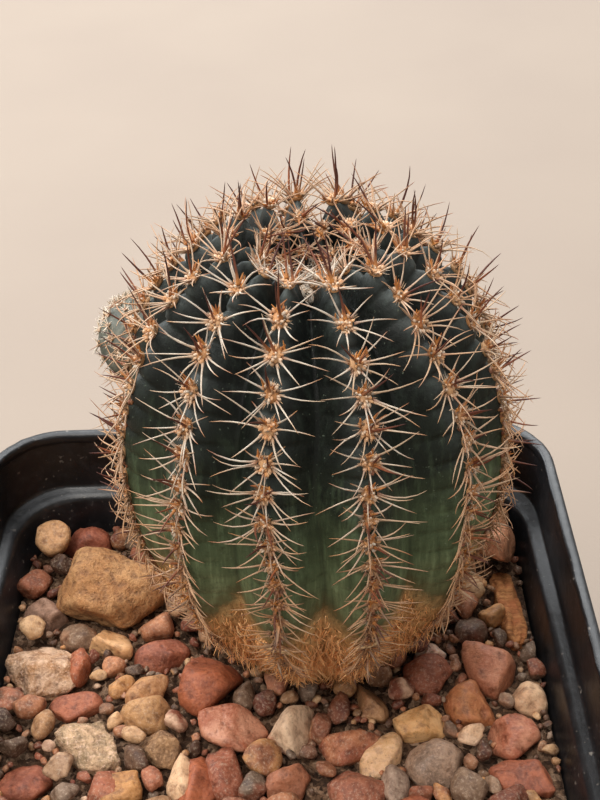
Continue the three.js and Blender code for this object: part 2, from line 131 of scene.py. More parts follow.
def unit(vectors):
    return vectors / np.maximum(np.linalg.norm(vectors, axis=-1, keepdims=True), 1e-9)


# ------------------------------------------------------------------ materials
class Shader:
    """A material and short ways to add nodes to it."""

    def __init__(self, name, **sockets):
        self.material = bpy.data.materials.new(name)
        self.material.use_nodes = True
        self.tree = self.material.node_tree
        self.surface = self.tree.nodes["Principled BSDF"]
        for socket, value in sockets.items():
            self.surface.inputs[socket.replace("_", " ")].default_value = value
        self.place = self.node("ShaderNodeTexCoord").outputs["Object"]

    def node(self, kind, **settings):
        made = self.tree.nodes.new(kind)
        for name, value in settings.items():
            setattr(made, name, value)
        return made

    def feed(self, socket, value):
        if isinstance(value, bpy.types.NodeSocket):
            self.tree.links.new(value, socket)
        elif isinstance(value, str):
            socket.default_value = (*srgb(value), 1)
        elif hasattr(value, "__len__") and socket.type == "RGBA":
            socket.default_value = (*value[:3], 1)
        else:
            socket.default_value = value

    def noise(self, size, detail=3.0, rough=0.6, place=None, warp=0.0):
        """Noise with features of a size in millimetres."""
        made = self.node("ShaderNodeTexNoise")
        self.feed(made.inputs["Vector"], place or self.place)
        made.inputs["Scale"].default_value = 1 / (size * MM)
        made.inputs["Detail"].default_value = detail
        made.inputs["Roughness"].default_value = rough
        made.inputs["Distortion"].default_value = warp
        return made.outputs["Fac"]

    def stretched(self, scale, turn=0.0):
        """Coordinates that draw noise out along an axis."""
        made = self.node("ShaderNodeMapping", vector_type="POINT")
        self.feed(made.inputs["Vector"], self.place)
        made.inputs["Rotation"].default_value = (0, 0, turn)
        made.inputs["Scale"].default_value = scale
        return made.outputs[0]

    def cells(self, size, output="Distance"):
        made = self.node("ShaderNodeTexVoronoi")
        self.feed(made.inputs["Vector"], self.place)
        made.inputs["Scale"].default_value = 1 / (size * MM)
        return made.outputs[output]

    def ramp(self, value, stops):
        """Colours or greys along a value, from (place, colour) stops."""
        made = self.node("ShaderNodeValToRGB")
        self.feed(made.inputs["Fac"], value)
        elements = made.color_ramp.elements
        while len(elements) < len(stops):
            elements.new(0.5)
        for element, (place, colour) in zip(elements, stops):
            element.position = place
            element.color = (*(srgb(colour) if isinstance(colour, str) else (colour,) * 3), 1)
        return made.outputs["Color"]

    def mix(self, share, first, second, blend="MIX"):
        made = self.node("ShaderNodeMix", data_type="RGBA", blend_type=blend)
        self.feed(made.inputs["Factor"], share)
        self.feed(made.inputs[6], first)
        self.feed(made.inputs[7], second)
        return made.outputs[2]

    def lay(self, under, over, value, *stops):
        """One colour laid over another, as strongly as a ramp of the value says."""
        return self.mix(self.ramp(value, stops), under, over)

    def tinted(self, colour, by):
        return self.mix(1.0, colour, by, "MULTIPLY")

    def swayed(self, value, noise, amount):
        """A value moved up and down by a noise."""
        return self.math("ADD", value, self.math("MULTIPLY", self.math("SUBTRACT", noise, 0.5), amount))

    def math(self, operation, first, second):
        made = self.node("ShaderNodeMath", operation=operation)
        self.feed(made.inputs[0], first)
        self.feed(made.inputs[1], second)
        return made.outputs[0]

    def tint(self):
        """The colour that the mesh's points carry."""
        return self.node("ShaderNodeAttribute", attribute_name="tint").outputs["Color"]

    def split(self, colour):
        made = self.node("ShaderNodeSeparateColor")
        self.feed(made.inputs[0], colour)
        return made.outputs

    def bump(self, height, depth, under=None):
        """Bump with a depth in millimetres."""
        made = self.node("ShaderNodeBump")
        made.inputs["Strength"].default_value = 1.0
        made.inputs["Distance"].default_value = depth * MM
        self.feed(made.inputs["Height"], height)
        if under is not None:
            self.feed(made.inputs["Normal"], under)
        return made.outputs["Normal"]

    def finish(self, colour, roughness, normal):
        for name, value in (("Base Color", colour), ("Roughness", roughness), ("Normal", normal)):
            self.feed(self.surface.inputs[name], value)
        return self.material


# ------------------------------------------------------------------ the stem's shape
HEIGHT = 64.8                   # of the stem over the gravel
CREST = 25.6                    # radius over the rib crests, at the widest
GRAVEL = box("cactus_stem")[1][2] - HEIGHT
RIBS = np.array([-73, -41, -12.5, 15.7, 48, 77, 105, 134, 160, 185, 207, 229, 258], float)
COUNT = len(RIBS)
OFFSET_RIB = 11                 # the rib that the offset grows on
OFFSET_ARC = 41.5               # its place along the crest, and the stretch it leaves bare
OFFSET_GAP = 8.0
AXIS = np.array([
    box("cactus_stem")[1][0] - CREST * math.sin(math.radians(RIBS[5])),
    box("cactus_stem")[0][1] + CREST * math.cos(math.radians(RIBS[2])),
])
# Height and crest radius, as shares, from the gravel to the dip of the crown.
OUTLINE = np.array([
    [0.00, 0.49], [0.046, 0.58], [0.108, 0.703], [0.185, 0.82], [0.278, 0.918], [0.386, 0.98],
    [0.494, 1.0], [0.617, 0.985], [0.741, 0.92], [0.849, 0.805], [0.926, 0.664], [0.977, 0.52],
    [1.0, 0.398], [0.976, 0.262], [0.925, 0.125], [0.905, 0.0],
])


def smooth_line(knots, count):
    """Evenly spaced points on a Catmull-Rom line through the knots."""
    ends = np.concatenate([[2 * knots[0] - knots[1]], knots, [2 * knots[-1] - knots[-2]]])
    fine = []
    for i in range(len(knots) - 1):
        a, b, c, d = ends[i:i + 4]
        t = np.linspace(0, 1, 24, endpoint=False)[:, None]
        fine.append(0.5 * (2 * b + (c - a) * t + (2 * a - 5 * b + 4 * c - d) * t ** 2
                           + (3 * b - a - 3 * c + d) * t ** 3))
    fine = np.concatenate([*fine, knots[-1:]])
    far = np.concatenate([[0], np.cumsum(np.linalg.norm(np.diff(fine, axis=0), axis=1))])
    even = np.linspace(0, far[-1], count)
    return even, np.stack([np.interp(even, far, fine[:, k]) for k in range(fine.shape[1])], 1)


# The crest line seen from the side: arc length, radius and height, and its directions.
ARC, LINE = smooth_line(np.stack([OUTLINE[:, 1] * CREST, GRAVEL + OUTLINE[:, 0] * HEIGHT], 1), 700)
LENGTH = ARC[-1]
TANGENT = unit(np.gradient(LINE, ARC, axis=0))
TANGENT = unit(np.stack([
    np.convolve(np.pad(TANGENT[:, k], 20, "edge"), np.ones(41) / 41, "valid") for k in (0, 1)], 1))
NORMAL = np.stack([TANGENT[:, 1], -TANGENT[:, 0]], 1)


def along(table, arc):
    return np.interp(arc, ARC, table)


def rib_angle(rib, arc):
    """Heading of a place across the ribs, where whole numbers are crests; ribs wander a little."""
    rib = np.asarray(rib, float)
    low = np.floor(rib).astype(int)
    share = rib - low
    turns = np.append(RIBS, RIBS[0] + 360)

    def wander(k):
        k = k % COUNT
        reach = np.interp(arc, [0, 10, LENGTH - 14, LENGTH], [0, 1, 1, 0])
        return reach * (1.0 * np.sin(arc / 8.5 + 2.1 * k) + 0.7 * np.sin(arc / 3.9 + 1.3 * k * k))

    straight = turns[low % COUNT] * (1 - share) + turns[low % COUNT + 1] * share
    return np.radians(straight + wander(low) * (1 - share) + wander(low + 1) * share)


def areole_arcs(rib):
    """Where a rib's areoles sit along its crest, from the crown down."""
    rng = np.random.default_rng(100 + rib)
    places, arc = [], LENGTH - (4.8 if rib % 2 else 7.4) - 1.0 * rng.random()
    while arc > 1.5:
        places.append(arc)
        share = arc / LENGTH
        step = np.interp(share, [0, 0.2, 0.5, 0.66, 0.8, 0.9, 1], [2.8, 3.0, 3.4, 3.8, 4.2, 4.1, 3.8])
        arc -= step * rng.uniform(0.86, 1.14)
    return np.array(places)


AREOLES = [areole_arcs(rib) for rib in range(COUNT)]
DEPTH = np.interp(ARC / LENGTH, [0, 0.05, 0.15, 0.35, 0.55, 0.7, 0.8, 0.88, 0.94, 1],
                  [0.5, 1.2, 2.2, 2.9, 3.1, 3.5, 3.9, 3.7, 2.3, 0])


def nearest_areole(rib, arc):
    """Signed distance along the crest to the nearest areole, on the nearest rib."""
    near = np.round(rib).astype(int) % COUNT
    gap = np.full(np.shape(arc), 99.0)
    for k in range(COUNT):
        mine = near == k
        away = np.asarray(arc)[mine][:, None] - AREOLES[k][None, :]
        gap[mine] = away[np.arange(len(away)), np.abs(away).argmin(1)]
    return gap


def skin(rib, arc, areoles=True):
    """Points of the stem's surface, with the share of the way from crest to groove."""
    rib, arc = np.broadcast_arrays(np.asarray(rib, float), np.asarray(arc, float))
    share = 2 * np.abs(rib - np.round(rib))
    profile = 0.62 * share ** 1.3 + 0.38 * np.sin(0.5 * math.pi * share) ** 2
    dip = along(DEPTH, arc) * profile
    if areoles:
        gap = nearest_areole(rib, arc)
        young = np.interp(arc / LENGTH, [0.0, 0.3, 0.6, 0.8, 0.92, 1], [0.1, 0.18, 0.55, 0.95, 0.7, 0])
        dip = dip - young * np.exp(-((gap + 0.5) / 1.5) ** 2) * (1 - share) ** 1.3
        dip = dip + 0.55 * young * np.exp(-((gap - 2.0) / 0.6) ** 2) * (1 - share) ** 1.1
    heading = rib_angle(rib, arc)
    radius = along(LINE[:, 0], arc) - along(NORMAL[:, 0], arc) * dip
    height = along(LINE[:, 1], arc) - along(NORMAL[:, 1], arc) * dip
    radius = np.maximum(radius, 0)
    x, y = AXIS[0] + radius * np.sin(heading), AXIS[1] - radius * np.cos(heading)
    return np.stack([x, y, height], -1), share


def crest_frame(rib, arc, areoles=True):
    """Point, outward normal, sideways and upward directions at places on the stem."""
    arc = np.asarray(arc, float)
    heading = rib_angle(rib, arc)
    out = np.stack([np.sin(heading), -np.cos(heading), 0 * heading], -1)
    side = np.stack([np.cos(heading), np.sin(heading), 0 * heading], -1)
    normal, rise = (out * along(table[:, 0], arc)[..., None] + [0, 0, 1] * along(table[:, 1], arc)[..., None]
                    for table in (NORMAL, TANGENT))
    return skin(rib, arc, areoles)[0], normal, side, rise


def cork_top(rib):
    """How far up the crest line the corky foot reaches; higher in the grooves."""
    share = 2 * np.abs(rib - np.round(rib))
    return 21.5 + 5.0 * share ** 1.5 + 1.3 * np.sin(2.7 * rib) + 0.8 * np.sin(11.0 * rib)


def stem_piece():
    per_rib, rows = 26, 250
    crown_rows, crown_reach = 8, 3      # rows that close in on the middle of the crown
    columns = COUNT * per_rib
    arc = np.concatenate([
        np.linspace(0, LENGTH - crown_reach, rows - crown_rows, endpoint=False),
        LENGTH - crown_reach * np.linspace(1, 0.02, crown_rows) ** 1.2,
    ])
    ribs, arcs = np.meshgrid(np.arange(columns) / per_rib, arc)
    points, share = skin(ribs, arcs)
    out = unit((points - [*AXIS, 0]) * [1, 1, 0])
    cork = np.clip((cork_top(ribs) - arcs) / 1.6 + 0.3 * wavy(points, 1.6, 5), 0, 1)
    rough = 0.035 * wavy(points, 2.6, 3) + 0.10 * cork * wavy(points * [1, 1, 0.35], 0.55, 4)
    points = points + out * rough[..., None]
    # Closeness to the areoles; the skin uses it for a grey-blue patch that is partly bloom and partly painted
    # sheen.
    near = np.exp(-(np.hypot(nearest_areole(ribs, arcs), share * 9) / 2.6) ** 2)
    batch = Batch()
    tints = np.stack([share, arcs / LENGTH, near], -1).reshape(-1, 3)
    batch.add(points, grid_quads(rows, columns), tint=tints)
    order = np.arange(columns)
    batch.cap((rows - 1) * columns + order, points[-1].mean(0), tint=(0, 1, 0))
    # The root stump: rings that narrow and drop from the foot down into the soil.
    low = box("cactus_stem")[0][2]
    foot, upper, brown = points[0], order, (0.5, 0, 0)
    for narrow, drop in ((0.92, 0.12), (0.82, 0.45), (0.6, 0.8), (0.3, 0.97), (0.02, 1.0)):
        ring = foot.copy()
        ring[:, :2] = AXIS + (foot[:, :2] - AXIS) * narrow
        ring[:, 2] = foot[:, 2] * (1 - drop) + low * drop
        ring[:, :2] += 0.25 * wavy(ring, 2, 9)[:, None] * narrow
        lower = batch.count + order
        batch.add(ring, tint=brown)
        batch.quads.append(np.stack([lower, np.roll(lower, -1), np.roll(upper, -1), upper], 1))
        upper = lower
    batch.cap(upper[::-1], [*AXIS, low], tint=brown)
    return batch.make("cactus_stem_skin", skin_material(), ["cactus_stem"])


def skin_material():
    shader = Shader("cactus_skin", Roughness=0.5, Specular_IOR_Level=0.2)
    tint = shader.split(shader.tint())
    share, height, near = tint[0], tint[1], tint[2]
    streaks = shader.noise(1.1, 4, 0.65, shader.stretched((1, 1, 0.09)))
    broad = shader.noise(7, 3, 0.6)
    mottled = shader.noise(1.6, 4, 0.7)
    fine = shader.noise(0.35, 3, 0.7)
    level = shader.swayed(height, broad, 0.22)
    body = shader.ramp(level, [
        (0.0, "82845c"), (0.26, "78805a"), (0.40, "546144"),
        (0.56, "191f17"), (0.72, "121512"), (1.0, "161917"),
    ])
    light = shader.ramp(level, [
        (0.0, "9ca074"), (0.3, "94a278"), (0.44, "687a58"),
        (0.62, "262e26"), (1.0, "2c3230"),
    ])
    dark = shader.ramp(level, [
        (0.0, "525639"), (0.36, "38422e"), (0.66, "0a0c0a"), (1.0, "0b0d0c"),
    ])
    colour = shader.lay(body, light, streaks, (0.5, 0.0), (0.74, 0.9))
    colour = shader.lay(colour, dark, streaks, (0.28, 0.75), (0.46, 0.0))
    colour = shader.lay(colour, dark, mottled, (0.30, 0.6), (0.5, 0.0))
    # Painted shade: the skin darkens towards the bottom of each groove.
    colour = shader.lay(colour, dark, share, (0.9, 0.0), (1.0, 0.7))
    # A pale grey-blue patch round the upper areoles, partly the skin's waxy bloom and partly a painted sheen,
    # then light flecks.
    bloom_and_sheen = shader.math("MULTIPLY", near, shader.ramp(height, [(0.45, 0.0), (0.8, 1.0)]))
    bloom_and_sheen = shader.math("MULTIPLY", bloom_and_sheen, shader.ramp(mottled, [(0.35, 0.35), (0.65, 0.9)]))
    colour = shader.mix(bloom_and_sheen, colour, "606866")
    colour = shader.lay(colour, "74806e", shader.noise(0.5, 2, 0.5), (0.70, 0.0), (0.76, 0.55))
    # The corky foot: its edge follows the height and a ragged noise, higher in the grooves.
    rise = shader.math("MULTIPLY", shader.math("POWER", share, 1.5), -5.0 / LENGTH)
    edge = shader.math("ADD", height, rise)
    edge = shader.swayed(edge, shader.noise(2.2, 5, 0.7), 0.075)
    cork = shader.ramp(edge, [(20.0 / LENGTH, 1.0), (24.0 / LENGTH, 0.0)])
    fibres = shader.noise(0.34, 4, 0.7, shader.stretched((1, 1, 0.22)))
    bark = shader.ramp(shader.noise(2.8, 4, 0.65), [
        (0.25, "b87e4a"), (0.42, "d8a064"), (0.58, "eab87a"), (0.78, "f2cc94"),
    ])
    bark = shader.lay(bark, "78502e", fibres, (0.32, 0.85), (0.52, 0.0))
    bark = shader.lay(bark, "deb886", fibres, (0.56, 0.0), (0.72, 0.5))
    colour = shader.lay(
        colour, "5c4e2e", edge, (19.0 / LENGTH, 0.0), (23.0 / LENGTH, 0.8), (27.0 / LENGTH, 0.0))
    colour = shader.mix(cork, colour, bark)
    roughness = shader.mix(cork, shader.ramp(mottled, [(0.3, 0.42), (0.7, 0.62)]), (0.9, 0.9, 0.9))
    relief = shader.bump(fine, 0.06)
    relief = shader.bump(streaks, 0.12, relief)
    relief = shader.bump(shader.math("MULTIPLY", fibres, cork), 0.6, relief)
    return shader.finish(colour, roughness, relief)


# ------------------------------------------------------------------ spines
# The rings of a spine: their places along it, widths, and places along its colours.
SPINE_RINGS = np.array([
    [0, 0.05, 0.13, 0.3, 0.52, 0.76, 0.93],
    [1.9, 1.75, 1.12, 1.0, 0.86, 0.6, 0.3],
    [0, 0.04, 0.14, 0.3, 0.55, 0.85, 1.0],
])


def add_spines(batch, roots, tips, widths, bends, colours, sides=5, rings=slice(None)):
    """Tapered, slightly curved spines with a bulb at the root; colours are for base, middle and tip."""
    stations, swell, shade = SPINE_RINGS[:, rings]
    roots, tips, widths, bends = (np.asarray(x, float) for x in (roots, tips, widths, bends))
    count, levels = len(roots), len(stations)
    aim = unit(tips - roots)
    other = np.where(np.abs(aim[:, 2:3]) < 0.9, [[0, 0, 1.0]], [[1.0, 0, 0]])
    first = unit(np.cross(aim, other))
    second = np.cross(aim, first)
    turn = 2 * math.pi * np.arange(sides) / sides
    middle = roots[:, None] + (tips - roots)[:, None] * stations[None, :, None]
    arch = 4 * stations * (1 - stations)
    middle = middle + bends[:, None] * arch[None, :, None]
    ring = (np.cos(turn)[None, None, :, None] * first[:, None, None]
            + np.sin(turn)[None, None, :, None] * second[:, None, None])
    points = middle[:, :, None] + ring * (widths[:, None, None, None] / 2) * swell[None, :, None, None]
    base, mid, tip = (np.asarray(c, float)[:, None] for c in colours)
    low = np.clip(shade / 0.3, 0, 1)[None, :, None]
    high = np.clip((shade - 0.5) / 0.5, 0, 1)[None, :, None]
    tint = (base * (1 - low) + mid * low) * (1 - high) + tip * high
    tint = np.broadcast_to(tint[:, :, None], points.shape)
    per = levels * sides + 1
    points = np.concatenate([points.reshape(count, -1, 3), tips[:, None]], 1)
    tint = np.concatenate([tint.reshape(count, -1, 3), np.broadcast_to(tip, (count, 1, 3))], 1)
    quads = grid_quads(levels, sides)
    last = (levels - 1) * sides + np.arange(sides)
    caps = np.stack([last, np.roll(last, -1), np.full(sides, per - 1)], 1)
    foot = np.array([[0, k + 1, k] for k in range(1, sides - 1)])
    tris = np.concatenate([caps, foot])
    shift = (per * np.arange(count))[:, None, None]
    quads, tris = (quads[None] + shift).reshape(-1, 4), (tris[None] + shift).reshape(-1, 3)
    batch.add(points, quads, tris, tint.reshape(-1, 3))


def ball(level):
    """Points and triangles of an icosphere."""
    made = bmesh.new()
    bmesh.ops.create_icosphere(made, subdivisions=level, radius=1)
    points = np.array([v.co for v in made.verts])
    tris = np.array([[v.index for v in f.verts] for f in made.faces])
    made.free()
    return points, tris


BALLS = {level: ball(level) for level in range(1, 6)}


def add_lumps(batch, places, axes, colours, level=1):
    """Small rounded lumps; axes holds three half-axis vectors for each."""
    points, tris = BALLS[level]
    made = places[:, None] + np.einsum("pk,nkj->npj", points, axes)
    shift = (len(points) * np.arange(len(places)))[:, None, None]
    tint = np.broadcast_to(colours[:, None], made.shape)
    batch.add(made, None, (tris[None] + shift).reshape(-1, 3), tint.reshape(-1, 3))


def pick(rng, count, *colours, spread=0.08):
    """Colours drawn from between the ones given, each a little lighter or darker."""
    colours = np.array(colours)
    share = rng.dirichlet(np.full(len(colours), 0.7), count)
    return (share @ colours) * (1 + spread * rng.normal(size=(count, 1))).clip(0.6, 1.5)


CREAM = srgb("d6cbba")
PALE_SPINE = srgb("dcd3c5")
BEIGE = srgb("c2a88a")
TAN = srgb("c28a58")
ORANGE = srgb("c2803c")
RUST = srgb("925436")
MAROON = srgb("48241e")
PINKISH = srgb("a47662")
WOOL = srgb("d0a478")
STRAW = srgb("debe8e")


def add_pad(batch, rng, point, axes, wide, old):
    """One areole's felt: a low mound, knobs round it and a fuzz of fine hairs."""
    mound = np.array([[0.72, 0, 0], [0, 0.88, 0], [0, 0, 0.42]]) * wide
    felt = pick(rng, 1, WOOL, TAN) * (0.9 - 0.2 * old)
    add_lumps(batch, np.array([point]), (mound @ axes)[None], felt, level=2)
    count = 30
    turn = rng.uniform(0, 2 * math.pi, count)
    away = np.where(np.arange(count) < 20, rng.uniform(0.72, 1.0, count), rng.uniform(0, 0.6, count))
    out = np.stack([np.cos(turn), 1.12 * np.sin(turn), 0 * turn], 1)
    lift = 0.44 * np.sqrt(np.clip(1 - (0.9 * away) ** 2, 0, 1))
    places = (out * away[:, None] * 0.82 + [0, 0, 1] * lift[:, None]) * wide
    aim = unit(out * away[:, None] + [0, 0, 0.55])
    across = unit(np.cross(aim, [0.1, 0.2, 1.0]))
    third = np.cross(aim, across)
    size = wide * rng.uniform(0.75, 1.25, (count, 1, 1))
    knobs = np.stack([0.30 * aim, 0.155 * across, 0.14 * third], 1) * size
    tone = pick(rng, count, WOOL, TAN, CREAM if old < 0.4 else PINKISH, spread=0.12) * (1 - 0.18 * old)
    tone = np.where((rng.uniform(size=count) < 0.2)[:, None], tone * 0.35, tone)
    add_lumps(batch, point + places @ axes, knobs @ axes, tone)
    count = 16
    turn = rng.uniform(0, 2 * math.pi, count)
    out = np.stack([np.cos(turn), np.sin(turn), rng.uniform(0.1, 0.8, count)], 1)
    seat = point + (out * [0.8, 0.9, 0.35] * wide) @ axes
    tips = seat + (unit(out) @ axes) * rng.uniform(0.35, 0.8, (count, 1)) * wide
    tone = pick(rng, count, WOOL, CREAM)
    bend = rng.normal(0, 0.06, (count, 3))
    add_spines(batch, seat, tips, np.full(count, 0.075), bend, (tone * 0.8, tone, tone), sides=3)


def areole_spines(rib):
    """All the areoles on one rib: felt, bulbs, radial and central spines."""
    rng = np.random.default_rng(500 + rib)
    batch = Batch()
    arcs = AREOLES[rib]
    if rib == OFFSET_RIB:
        arcs = arcs[np.abs(arcs - OFFSET_ARC) > OFFSET_GAP]
    # Ribs seen edge-on at the sides and back carry older, browner spines than the front ones.
    warm = float(np.clip((abs((RIBS[rib] + 14 + 180) % 360 - 180) - 25) / 45, 0, 1))
    points, normals, sides, rises = crest_frame(rib, arcs)
    for arc, point, normal, side, rise in zip(arcs, points, normals, sides, rises):
        share = arc / LENGTH
        old = float(np.interp(share, [0.15, 0.6], [1, 0]))
        young = float(np.interp(share, [0.78, 0.95], [0, 1]))
        low = float(np.interp(share, [0.05, 0.22], [1, 0]))
        axes = np.array([side, rise, normal])
        wide = np.interp(share, [0, 0.15, 0.4, 0.75, 0.9, 1], [0.5, 0.8, 1.2, 1.35, 1.1, 0.6])
        wide *= rng.uniform(0.92, 1.08)
        add_pad(batch, rng, point, axes, wide, old)
        # radials: a comb to both sides, fewer above and below
        pairs = int(rng.integers(3, 6)) - int(low > 0.6)
        comb = np.linspace(56 - 8 * old, 128 - 22 * old, pairs)
        left, right = (comb + rng.normal(0, 8, pairs) for _ in range(2))
        down = rng.uniform(145, 178, 1), -rng.uniform(145, 178, 1)
        turns = np.concatenate([left, -right, *down, rng.uniform(-45, 45, 1 + int(young > 0.2))])
        swept = np.sign(turns) * (np.abs(turns) * (1 - 0.05 * old) + 18 * low)
        turns = np.where(np.abs(turns) > 50, swept, turns)
        count = len(turns)
        lean = np.interp(share, [0, 0.3, 0.7, 0.86, 1], [14, 20, 27, 36, 50]) + rng.normal(0, 9, count)
        lean = np.radians(lean).clip(0.06, 1.3)
        angle = np.radians(turns)
        local = np.stack([np.cos(lean) * np.sin(angle), np.cos(lean) * np.cos(angle), np.sin(lean)], 1)
        reach = np.interp(share, [0, 0.12, 0.25, 0.45, 0.7, 0.82, 0.92, 1],
                          [1.3, 2.4, 4.2, 5.4, 6.3, 5.8, 3.6, 2.2])
        length = reach * rng.uniform(0.62, 1.14, count)
        length = length * np.where(np.abs(turns) > 140, 0.66, 1) * np.where(np.abs(turns) < 50, 0.7, 1)
        seat = point + (local * [0.86 * wide, 0.98 * wide, 0.34 * wide]) @ axes
        tips = seat + (local * length[:, None]) @ axes
        bend = normal * rng.normal(0.055, 0.045, (count, 1)) + rise * rng.normal(0.0, 0.045, (count, 1))
        bend = bend * length[:, None]
        fade = max(warm * 0.75, 0.85 * old)
        base = pick(rng, count, TAN, PINKISH, BEIGE) * (1 - 0.15 * old)
        mid = pick(rng, count, CREAM, PALE_SPINE, PALE_SPINE if young else BEIGE) * (1 - fade)
        mid = mid + pick(rng, count, BEIGE, TAN, TAN, spread=0.12) * fade
        warmth = np.interp(share, [0.08, 0.2, 0.45, 0.6], [0.2, 0.6, 0.5, 0.0])
        mid = mid * (1 - warmth) + TAN * warmth
        tip = pick(rng, count, BEIGE, TAN, RUST)
        shade = 0.90 - 0.18 * low
        width = rng.uniform(0.17, 0.24, count) * (1 - 0.25 * low)
        add_spines(batch, seat, tips, width, bend, (base * shade, mid * shade, tip * shade))
        # centrals
        count = int(rng.integers(1, 3)) if old < 0.7 else int(rng.integers(0, 2))
        if count:
            upward = np.interp(share, [0, 0.4, 0.7, 0.9, 1], [-0.1, 0.1, 0.6, 0.35, 0.1])
            across, along_rib = rng.normal(0, 0.3, count), upward + rng.normal(0, 0.3, count)
            local = unit(np.stack([across, along_rib, np.ones(count)], 1))
            length = np.interp(share, [0, 0.3, 0.7, 0.86, 0.93, 1], [2.2, 3.6, 5.6, 6.6, 4.2, 2.4])
            length = length * rng.uniform(0.7, 1.15, count)
            seat = point + (rng.normal(0, 0.25, (count, 3)) * wide + [0, 0.1, 0.35]) @ axes
            tips = seat + (local * length[:, None]) @ axes
            bend = rng.normal(0, 0.03, (count, 3)) * length[:, None]
            add_spines(batch, seat, tips, rng.uniform(0.25, 0.33, count), bend, (
                pick(rng, count, TAN, ORANGE, RUST),
                pick(rng, count, MAROON, MAROON if old < 0.5 else BEIGE, RUST, spread=0.15),
                pick(rng, count, MAROON, MAROON * 0.7),
            ))
        # short golden new bits at the upper side
        count = int(round(4 * (1 - old))) + 1
        local = np.stack([
            rng.normal(0, 0.55, count), rng.uniform(0.4, 1.2, count), rng.uniform(0.5, 1.2, count)], 1)
        seat = point + (rng.normal(0, 0.4, (count, 3)) * [1, 0.5, 0.2] + [0, 0.55 * wide, 0.25]) @ axes
        tips = seat + (unit(local) * rng.uniform(0.7, 1.8, (count, 1))) @ axes
        add_spines(batch, seat, tips, rng.uniform(0.22, 0.36, count), np.zeros((count, 3)), (
            pick(rng, count, ORANGE, TAN), pick(rng, count, ORANGE, TAN, RUST),
            pick(rng, count, ORANGE, RUST),
        ), sides=4)
    if rib in (2, 3):
        # a dry papery scab just over the corky foot
        count = 46
        spots, normals, sides, rises = crest_frame(rib, 21.6 + rng.normal(0, 0.4, count))
        axes = np.stack([sides * 0.5, rises * 0.34, normals * 0.15], 1) * rng.uniform(0.6, 1.2, (count, 1, 1))
        shift = sides * rng.normal(0, 0.75, (count, 1)) + normals * rng.uniform(0.1, 0.4, (count, 1))
        add_lumps(batch, spots + shift, axes, pick(rng, count, WOOL, STRAW))
    # felt that joins the areoles low on the rib
    low = np.arange(1.5, 0.62 * LENGTH, 0.34)
    if rib == OFFSET_RIB:
        low = low[np.abs(low - OFFSET_ARC) > OFFSET_GAP]
    share = low / LENGTH
    keep = rng.uniform(0, 1, len(low)) < np.interp(share, [0, 0.3, 0.45, 0.62], [1, 0.95, 0.5, 0.1])
    low = low[keep]
    points, normals, sides, rises = crest_frame(rib, low)
    count = len(low)
    shift = sides * rng.normal(0, 0.30, (count, 1)) + normals * 0.08
    axes = np.stack([sides * 0.36, rises * 0.5, normals * 0.26], 1) * rng.uniform(0.7, 1.25, (count, 1, 1))
    add_lumps(batch, points + shift, axes, pick(rng, count, PINKISH, TAN, RUST, spread=0.14) * 0.85)
    names = [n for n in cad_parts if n.startswith(f"rib_{rib + 1:02d}_")]
    return batch.make(f"rib_{rib + 1:02d}_areoles_and_spines", SPINE_FINISH, names)


def spine_material():
    shader = Shader("spines", Roughness=0.55, Specular_IOR_Level=0.35)
    tint = shader.tint()
    grain = shader.noise(0.35, 3, 0.7)
    colour = shader.lay(tint, shader.mix(0.5, tint, "78462d"), grain, (0.3, 0.45), (0.6, 0.0))
    colour = shader.lay(colour, shader.tinted(tint, "fff6e8"), grain, (0.5, 0.0), (0.8, 0.3))
    return shader.finish(colour, shader.ramp(grain, [(0.2, 0.45), (0.8, 0.7)]), shader.bump(grain, 0.03))


SPINE_FINISH = spine_material()


def crown_piece():
    """The tangle of young spines over the dip of the crown."""
    rng = np.random.default_rng(77)
    batch = Batch()
    centre = np.array([*AXIS, LINE[-1, 1]])

    def seats(count, reach):
        turn = rng.uniform(0, 2 * math.pi, count)
        away = reach * np.sqrt(rng.uniform(0, 1, count))
        out = np.stack([np.cos(turn), np.sin(turn), 0 * turn], 1)
        bed = np.interp(away, [0, 3, 6], [0.1, 0.5, 1.6])
        return centre + out * away[:, None] + [0, 0, 1] * bed[:, None], out

    count = 80
    places = seats(count, 4.4)[0]
    axes = np.eye(3)[None] * rng.uniform(0.25, 0.65, (count, 1, 1)) * rng.uniform(0.7, 1.2, (count, 3, 1))
    add_lumps(batch, places, axes, pick(rng, count, CREAM, PALE_SPINE, WOOL, spread=0.1))
    count = 190
    roots = seats(count, 4.6)[0]
    aim = rng.normal(0, 0.9, (count, 3)) + [0, 0, 0.7]
    aim[:, 2] = np.abs(aim[:, 2]) * 0.45 + 0.05
    length = rng.uniform(1.0, 2.8, count)
    tips = roots + unit(aim) * length[:, None]
    bend = rng.normal(0, 0.08, (count, 3)) * length[:, None]
    add_spines(batch, roots, tips, rng.uniform(0.18, 0.3, count), bend, (
        pick(rng, count, BEIGE, TAN), pick(rng, count, PALE_SPINE, CREAM),
        pick(rng, count, PALE_SPINE, CREAM, BEIGE),
    ), sides=4)
    count = 14
    roots, out = seats(count, 4.4)
    aim = out * 0.3 + rng.normal(0, 0.45, (count, 3)) + [0, 0, 1]
    length = rng.uniform(1.0, 2.2, count)
    tips = roots + unit(aim) * length[:, None]
    width = rng.uniform(0.3, 0.42, count)
    add_spines(batch, roots, tips, width, rng.normal(0, 0.03, (count, 3)) * length[:, None], (
        pick(rng, count, ORANGE, TAN), pick(rng, count, RUST, ORANGE), pick(rng, count, ORANGE, MAROON),
    ))
    return batch.make("crown_tuft", SPINE_FINISH, ["crown_spines"])


